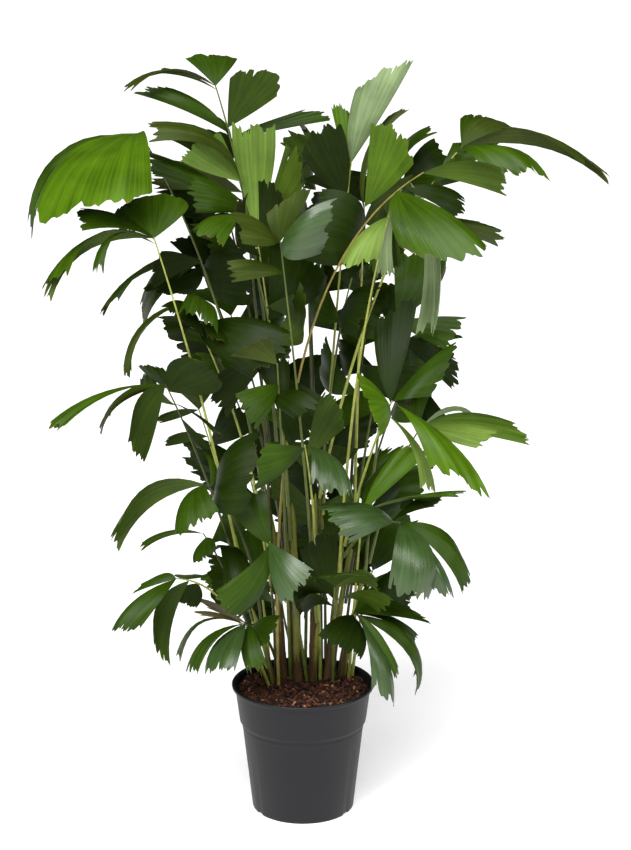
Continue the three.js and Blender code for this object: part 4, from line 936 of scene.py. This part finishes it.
# Ribs: petiole and midrib of each frond, round and slim, in a few colours
stalkLooks = {
    "stalkGreen": (0.085, 0.110, 0.020),
    "stalkLime": (0.250, 0.280, 0.050),
    "stalkDark": (0.040, 0.046, 0.010),
    "stalkAmber": (0.240, 0.185, 0.045),
}
stalkPaint = {"grain": (60, 4), "shades": (0.45, 1.55), "roughness": 0.42, "gloss": 0.25, "bump": (0.3, 0.0005)}
stalkDetail = {
    "sides": 8, "rings": 26, "footRadius": 3.3, "tipRadius": 1.2, "taper": 1.2, "ridge": 0.05, "seed": 31,
}
# Stalks whose colour stands out in the photo, and how often each colour comes among the others
stalkTones = {
    "stalkAmber": ("right_front",),
    "stalkLime": ("right_pale", "right_arching", "right_glossy", "right_bright", "top_bright",
                  "left_drooping", "left_slender", "left_arched"),
    "stalkGreen": ("right_back", "front_pair", "front_high", "top_left"),
    "stalkDark": ("left_hanging", "low_left_thin"),
}
stalkMix = {"stalkGreen": 0.45, "stalkLime": 0.2, "stalkDark": 0.35}


def stalk(frond, usual):
    shares = np.linspace(0, 1, stalkDetail["rings"])
    turn = anglesRound(stalkDetail["sides"])
    radii = ribRadius(shares, stalkDetail)[:, None] * (1 + stalkDetail["ridge"] * np.cos(2 * turn)[None, :])
    shape = tube(frond["arch"], shares, radii, stalkDetail["sides"])
    seenTones = [tone for tone, names in stalkTones.items() if frond["name"][len("frond_"):] in names]
    number = list(stalkLooks).index(seenTones[0] if seenTones else usual)
    return {**shape, "finish": np.full(len(shape["faces"]), number)}


stalkFinishes = [grainyMaterial(name, colour, stalkPaint) for name, colour in stalkLooks.items()]
dice = np.random.default_rng(stalkDetail["seed"])
usualTones = dice.choice(list(stalkMix), len(fronds), p=list(stalkMix.values()))
stalks = joined([stalk(frond, usual) for frond, usual in zip(fronds, usualTones)])
piece = meshFrom("ribs", stalks, stalkFinishes)
print("ribs", len(stalks["faces"]) * 2, "triangles")


# Canes: old leaf sheaths wrapped round green stems, each sheath ending in a step
caneDetail = {
    "sides": 40, "ringsPerMm": 0.35, "sheathLength": 62, "sheathStep": 0.9,
    "fibres": 11, "fibre": 0.35, "fade": 0.05,        # fibres round it, mm high, that fade and come back
    "ragged": (5, 2.5),                               # mm, for two waves of a sheath's end
    "brownUpTo": (0.1, 0.5), "brownRagged": 9,        # share of the cane
    "spear": 26, "bluntness": 0.04,                   # its pointed end
    "seed": 100, "start": (0, 60), "phase": (0, 6),   # what is drawn for each cane
}
caneLooks = {
    "sheathBrown": ((0.066, 0.040, 0.013), 0.6),
    "stemGreen": ((0.110, 0.120, 0.018), 0.4),
}
canePaint = {
    "stretch": (1.0, 1.0, 0.08), "fibre": (420, 5), "fibreShow": 0.4, "fibreShade": 1.9,
    "patch": (26, 3), "shades": (0.30, 1.45), "roughFibre": 0.2, "gloss": 0.2, "bump": (0.5, 0.0006),
}


def caneMaterial(name, colour, roughness):
    material, place = newMaterial(name)
    fibre = noise(stretched(place, canePaint["stretch"]), *canePaint["fibre"])
    base = shaded(noise(place, *canePaint["patch"]), colour, canePaint["shades"])
    base = (fibre * canePaint["fibreShow"]).mixed(base, opaque(colour, canePaint["fibreShade"]))
    rough = roughness + canePaint["roughFibre"] * fibre
    finishMaterial(place, base, rough, canePaint["gloss"], canePaint["bump"], fibre)
    return material


# Cane skin: radius = solid's radius + a ramp along each sheath + fibres that run up it, all drawn in at its end
def caneSkin(cane, seed):
    dice = np.random.default_rng(caneDetail["seed"] + seed)
    arch = caneArch(cane)
    rise = arch[2][2] - arch[0][2]
    shares = np.linspace(0, 1, int(rise * caneDetail["ringsPerMm"]))
    turn = anglesRound(caneDetail["sides"])
    height = (shares * rise)[:, None]
    wide, fine = caneDetail["ragged"]
    phase = caneDetail["phase"]
    ragged = wide * np.sin(2 * turn + dice.uniform(*phase)) + fine * np.sin(5 * turn + dice.uniform(*phase))
    within = ((height + ragged + dice.uniform(*caneDetail["start"])) / caneDetail["sheathLength"]) % 1
    radii = caneRadius(cane, shares)[:, None] + caneDetail["sheathStep"] * (within - 0.5)
    fibres = caneDetail["fibre"] * np.sin(caneDetail["fibres"] * turn + dice.uniform(*phase))
    fibres = fibres * np.sin(caneDetail["fade"] * height + 1)
    ending = np.clip((rise - height) / caneDetail["spear"], caneDetail["bluntness"], 1) ** 0.5
    skin = tube(arch, shares, (radii + fibres) * ending, caneDetail["sides"], level=True)
    upTo = rise * dice.uniform(*caneDetail["brownUpTo"])
    brown = (height[:-1] + caneDetail["brownRagged"] * ragged < upTo).ravel()
    finish = np.ones(len(skin["faces"]), dtype=int)
    finish[:len(brown)] = np.where(brown, 0, 1)
    return {**skin, "finish": finish}


caneFinishes = [caneMaterial(name, *look) for name, look in caneLooks.items()]
for i, cane in enumerate(canes):
    node = f"cane_{i + 1:02d}"
    piece = meshFrom(node + "_skin", caneSkin(cane, i), caneFinishes)
    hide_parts(node)
print("canes skinned:", len(canes))


# Soil: a mound of fine crumbs with bark chips of several browns lying on it
soilDetail = {
    "radius": 124.5, "rings": 44, "sides": 96, "middle": 1, "swell": 2.2,
    "clear": 0.3,               # mm between soil and pot
    "chips": 1300, "seed": 5,
    "long": (4, 13), "wide": (2.5, 6), "thick": (1.2, 3),
    "lift": (0.5, 3.2),         # mm above the soil
    "margin": 7,                # mm without chips along the pot
    "pinch": 0.55, "pinched": (0.3, 1), "bend": 0.8, "rough": 0.35, "tip": 0.35,
}
barkLooks = {
    "barkBrown": (0.055, 0.022, 0.013), "barkDark": (0.018, 0.009, 0.006),
    "barkRed": (0.110, 0.040, 0.021), "barkTan": (0.240, 0.115, 0.055),
}
barkMix = [0.46, 0.36, 0.14, 0.04]
barkPaint = {
    "grain": (320, 6), "shades": (0.4, 1.5), "roughness": 0.9, "gloss": 0.15, "bump": (0.6, 0.001),
}


# Soil body: rings from the middle out, height = top + bumps of sines, then down the wall to a flat base
def soilBody():
    rings, sides = soilDetail["rings"], soilDetail["sides"]
    inset = potSize["wall"] + soilDetail["clear"]
    base = potSize["floor"] + soilDetail["clear"]
    outer = [
        (potSize["collarRadius"] - inset, potSize["collarHeight"]),
        (potSize["waistRadius"] - inset, potSize["waistHeight"]),
        (potSize["footRadius"] - inset, base), (soilDetail["middle"], base),
    ]
    level = np.linspace(soilDetail["middle"], soilDetail["radius"], rings)
    radius = np.concatenate([level, [spot[0] for spot in outer]])[:, None]
    height = np.concatenate([np.full(rings, potSize["soilTop"]), [spot[1] for spot in outer]])[:, None]
    x, y = radius * np.cos(anglesRound(sides)), radius * np.sin(anglesRound(sides))
    bumps = np.sin(0.11 * x + 1) * np.sin(0.13 * y) + 0.6 * np.sin(0.31 * x) * np.sin(0.27 * y + 2)
    bumps = bumps + 0.35 * np.sin(0.9 * x + 2) * np.sin(0.8 * y)
    bumps[rings:] = 0
    body = turnedBody(radius, height + soilDetail["swell"] * bumps, sides, (potSize["soilTop"], base))
    faces = body["faces"][:, [0, 3, 2, 1]]    # the other way round, as its top comes first
    return {"points": body["points"], "faces": faces, "finish": np.ones(len(faces), dtype=int)}


# Bark chips: boxes with pinched and bent ends, each tipped and turned at random and laid on the soil
def barkChips():
    dice = np.random.default_rng(soilDetail["seed"])
    count = soilDetail["chips"]
    corner = np.array([[x, y, z] for x in (-1, 0, 1) for y in (-1, 1) for z in (-1, 1)], float)
    faces = np.array([[0, 1, 3, 2], [8, 10, 11, 9], [0, 4, 5, 1], [4, 8, 9, 5], [2, 3, 7, 6], [6, 7, 11, 10],
                      [1, 5, 7, 3], [5, 9, 11, 7], [0, 2, 6, 4], [4, 6, 10, 8]])
    size = np.stack([dice.uniform(*soilDetail[key], count) / 2 for key in ("long", "wide", "thick")], axis=1)
    points = corner[None] * size[:, None, :]
    end = abs(corner[None, :, 0])
    points[:, :, 1] *= 1 - soilDetail["pinch"] * end * dice.uniform(*soilDetail["pinched"], (count, 1))
    points[:, :, 2] += soilDetail["bend"] * dice.uniform(-1, 1, (count, 1)) * (1 - end) * size[:, 2:3]
    points += dice.normal(0, soilDetail["rough"], points.shape)
    turn, tip = dice.uniform(0, 2 * np.pi, count), dice.normal(0, soilDetail["tip"], count)
    x, z = turned(points[:, :, 0], points[:, :, 2], tip[:, None])
    x, y = turned(x, points[:, :, 1], turn[:, None])
    reach = soilDetail["radius"] - soilDetail["margin"]
    radius, around = reach * dice.uniform(0, 1, count) ** 0.5, dice.uniform(0, 2 * np.pi, count)
    placed = np.stack([
        x + (radius * np.cos(around))[:, None],
        y + (radius * np.sin(around))[:, None],
        z + potSize["soilTop"] + dice.uniform(*soilDetail["lift"], (count, 1)),
    ], axis=-1)
    starts = np.arange(count)[:, None, None] * len(corner)
    finish = np.repeat(dice.choice(len(barkLooks), count, p=barkMix), len(faces))
    return {"points": placed.reshape(-1, 3), "faces": (faces[None] + starts).reshape(-1, 4), "finish": finish}


barkFinishes = [grainyMaterial(name, colour, barkPaint) for name, colour in barkLooks.items()]
piece = meshFrom("soil_bark", joined([soilBody(), barkChips()]), barkFinishes, sharpAbove=35)
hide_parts("soil")
print("soil laid:", soilDetail["chips"], "chips")


# Pot: its profile turned round, with rounded steps, a thin moulded line and notches in the foot
potDetail = {
    "sides": 180,
    "edge": 1.1, "edgeShare": 0.4,          # how far a rounded corner reaches: mm, and share of a line at most
    "notchTurns": (-58, 58, 180),           # degrees from the front
    "notchHalf": 10, "notchHeight": 8,
    "notched": {"under": 20, "past": 80},   # mm: the part of the wall that a notch lifts
    "colour": (0.0064, 0.0058, 0.0072),
}
potPaint = {
    "fine": (700, 4), "stretch": (1.0, 1.0, 0.15), "scuff": (30, 5), "shades": (0.85, 1.2),
    "roughness": 0.44, "roughScuff": 0.16, "gloss": 0.25, "bump": (0.12, 0.0004),
}
potOuter = [
    (0, 0), (94, 0), (97, 3), (115, 163), (115.9, 164.5), (115.6, 166), (116, 172), (120.3, 177), (120.8, 180),
    (128.4, 239), (129.4, 241), (133.6, 242.6), (135, 244.4), (135, 248.2), (133.8, 250), (130.6, 250),
    (128.2, 248.6), (126.8, 246), (126.4, 240), (118.4, 178), (113.8, 172), (96, 4), (0, 4),
]


# Profile with rounded corners: each corner gives way to three points, on an arch between its neighbours
def roundedProfile(corners, reach, most):
    corners = np.array(corners, float)
    points = [corners[0]]
    for before, corner, after in zip(corners[:-2], corners[1:-1], corners[2:]):
        to = [before - corner, after - corner]
        near = [corner + way * min(most, reach / np.linalg.norm(way)) for way in to]
        points += [near[0], near[0] * 0.25 + corner * 0.5 + near[1] * 0.25, near[1]]
    return np.array(points + [corners[-1]])


# Pot wall: its profile turned round, with its foot lifted into an arch at each notch
def potWall():
    profile = roundedProfile(potOuter, potDetail["edge"], potDetail["edgeShare"])
    sides = potDetail["sides"]
    turn = anglesRound(sides)
    radius, height = profile[1:-1, :1], profile[1:-1, 1:]
    away = np.full(sides, math.inf)
    for notch in potDetail["notchTurns"]:
        gap = (turn - math.radians(notch - 90) + np.pi) % (2 * np.pi) - np.pi
        away = np.minimum(away, abs(gap) * potSize["footRadius"])
    arch = potDetail["notchHeight"] * np.sqrt(np.clip(1 - (away / potDetail["notchHalf"]) ** 2, 0, 1))
    foot = np.arange(len(radius)) < np.argmax(height[:, 0] > potDetail["notched"]["under"])
    lifted = foot[:, None] & (radius > potDetail["notched"]["past"])
    z = np.where(lifted, np.maximum(height, arch[None, :]), height)
    return turnedBody(radius, z, sides, (profile[0, 1], profile[-1, 1]))


def potMaterial():
    material, place = newMaterial("pottingPlastic")
    scuff = noise(stretched(place, potPaint["stretch"]), *potPaint["scuff"])
    base = shaded(scuff, potDetail["colour"], potPaint["shades"])
    rough = potPaint["roughness"] + potPaint["roughScuff"] * scuff
    fine = noise(place, *potPaint["fine"])
    finishMaterial(place, base, rough, potPaint["gloss"], potPaint["bump"], fine)
    return material


piece = meshFrom("pot_wall", potWall(), [potMaterial()], sharpAbove=38)
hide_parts("pot")
print("pot turned")


# Stage: a pale floor that runs to the horizon, a broad soft light from above, one at the front left
# and a weaker one at the right. Sizes and places are in metres
stageDetail = {"floor": 60, "colour": (0.74, 0.74, 0.74), "roughness": 0.9, "glow": 0.42, "sky": 0.03}
white = (1, 1, 1, 1)
sun = {"tilt": 36, "turn": -3, "spread": 50, "strength": 4.1}    # degrees
lights = [
    {"name": "lightFront", "place": (-1.9, -3.0, 3.1), "size": 1.8, "watts": 150},
    {"name": "lightRight", "place": (3.0, -2.2, 2.2), "size": 1.2, "watts": 60},
]


def makeFloor():
    half = stageDetail["floor"]
    mesh = bpy.data.meshes.new("floor")
    mesh.from_pydata([(-half, -half, 0), (half, -half, 0), (half, half, 0), (-half, half, 0)], [], [(0, 1, 2, 3)])
    material, shade = newMaterial("paleFloor")
    surface = shade.node("BsdfPrincipled", {}, {
        "Base Color": opaque(stageDetail["colour"]), "Roughness": stageDetail["roughness"],
        "Emission Color": white, "Emission Strength": stageDetail["glow"],
    })
    shade.node("OutputMaterial", {}, {"Surface": surface})
    mesh.materials.append(material)
    addObject("floor", mesh)


def makeLight(name, kind, energy, place, turn):
    data = bpy.data.lights.new(name, kind)
    data.energy = energy
    light = addObject(name, data)
    light.location = place
    light.rotation_euler = turn
    return data


def makeStage():
    makeFloor()
    world = bpy.data.worlds.new("softbox")
    world.use_nodes = True
    sky = world.node_tree.nodes["Background"].inputs
    sky["Strength"].default_value = stageDetail["sky"]
    sky["Color"].default_value = white
    bpy.context.scene.world = world
    for values in lights:
        way = np.array(cameraView["aim"]) - np.array(values["place"])
        turn = (math.atan2(math.hypot(way[0], way[1]), -way[2]), 0, math.atan2(-way[0], way[1]))
        lamp = makeLight(values["name"], "AREA", values["watts"], values["place"], turn)
        lamp.size = values["size"]
    turn = (math.radians(sun["tilt"]), 0, math.radians(sun["turn"]))
    lamp = makeLight("lightHigh", "SUN", sun["strength"], (0, 0, 0), turn)
    lamp.angle = math.radians(sun["spread"])
    bpy.context.scene.view_settings.view_transform = "Standard"


makeStage()
print("stage lit")
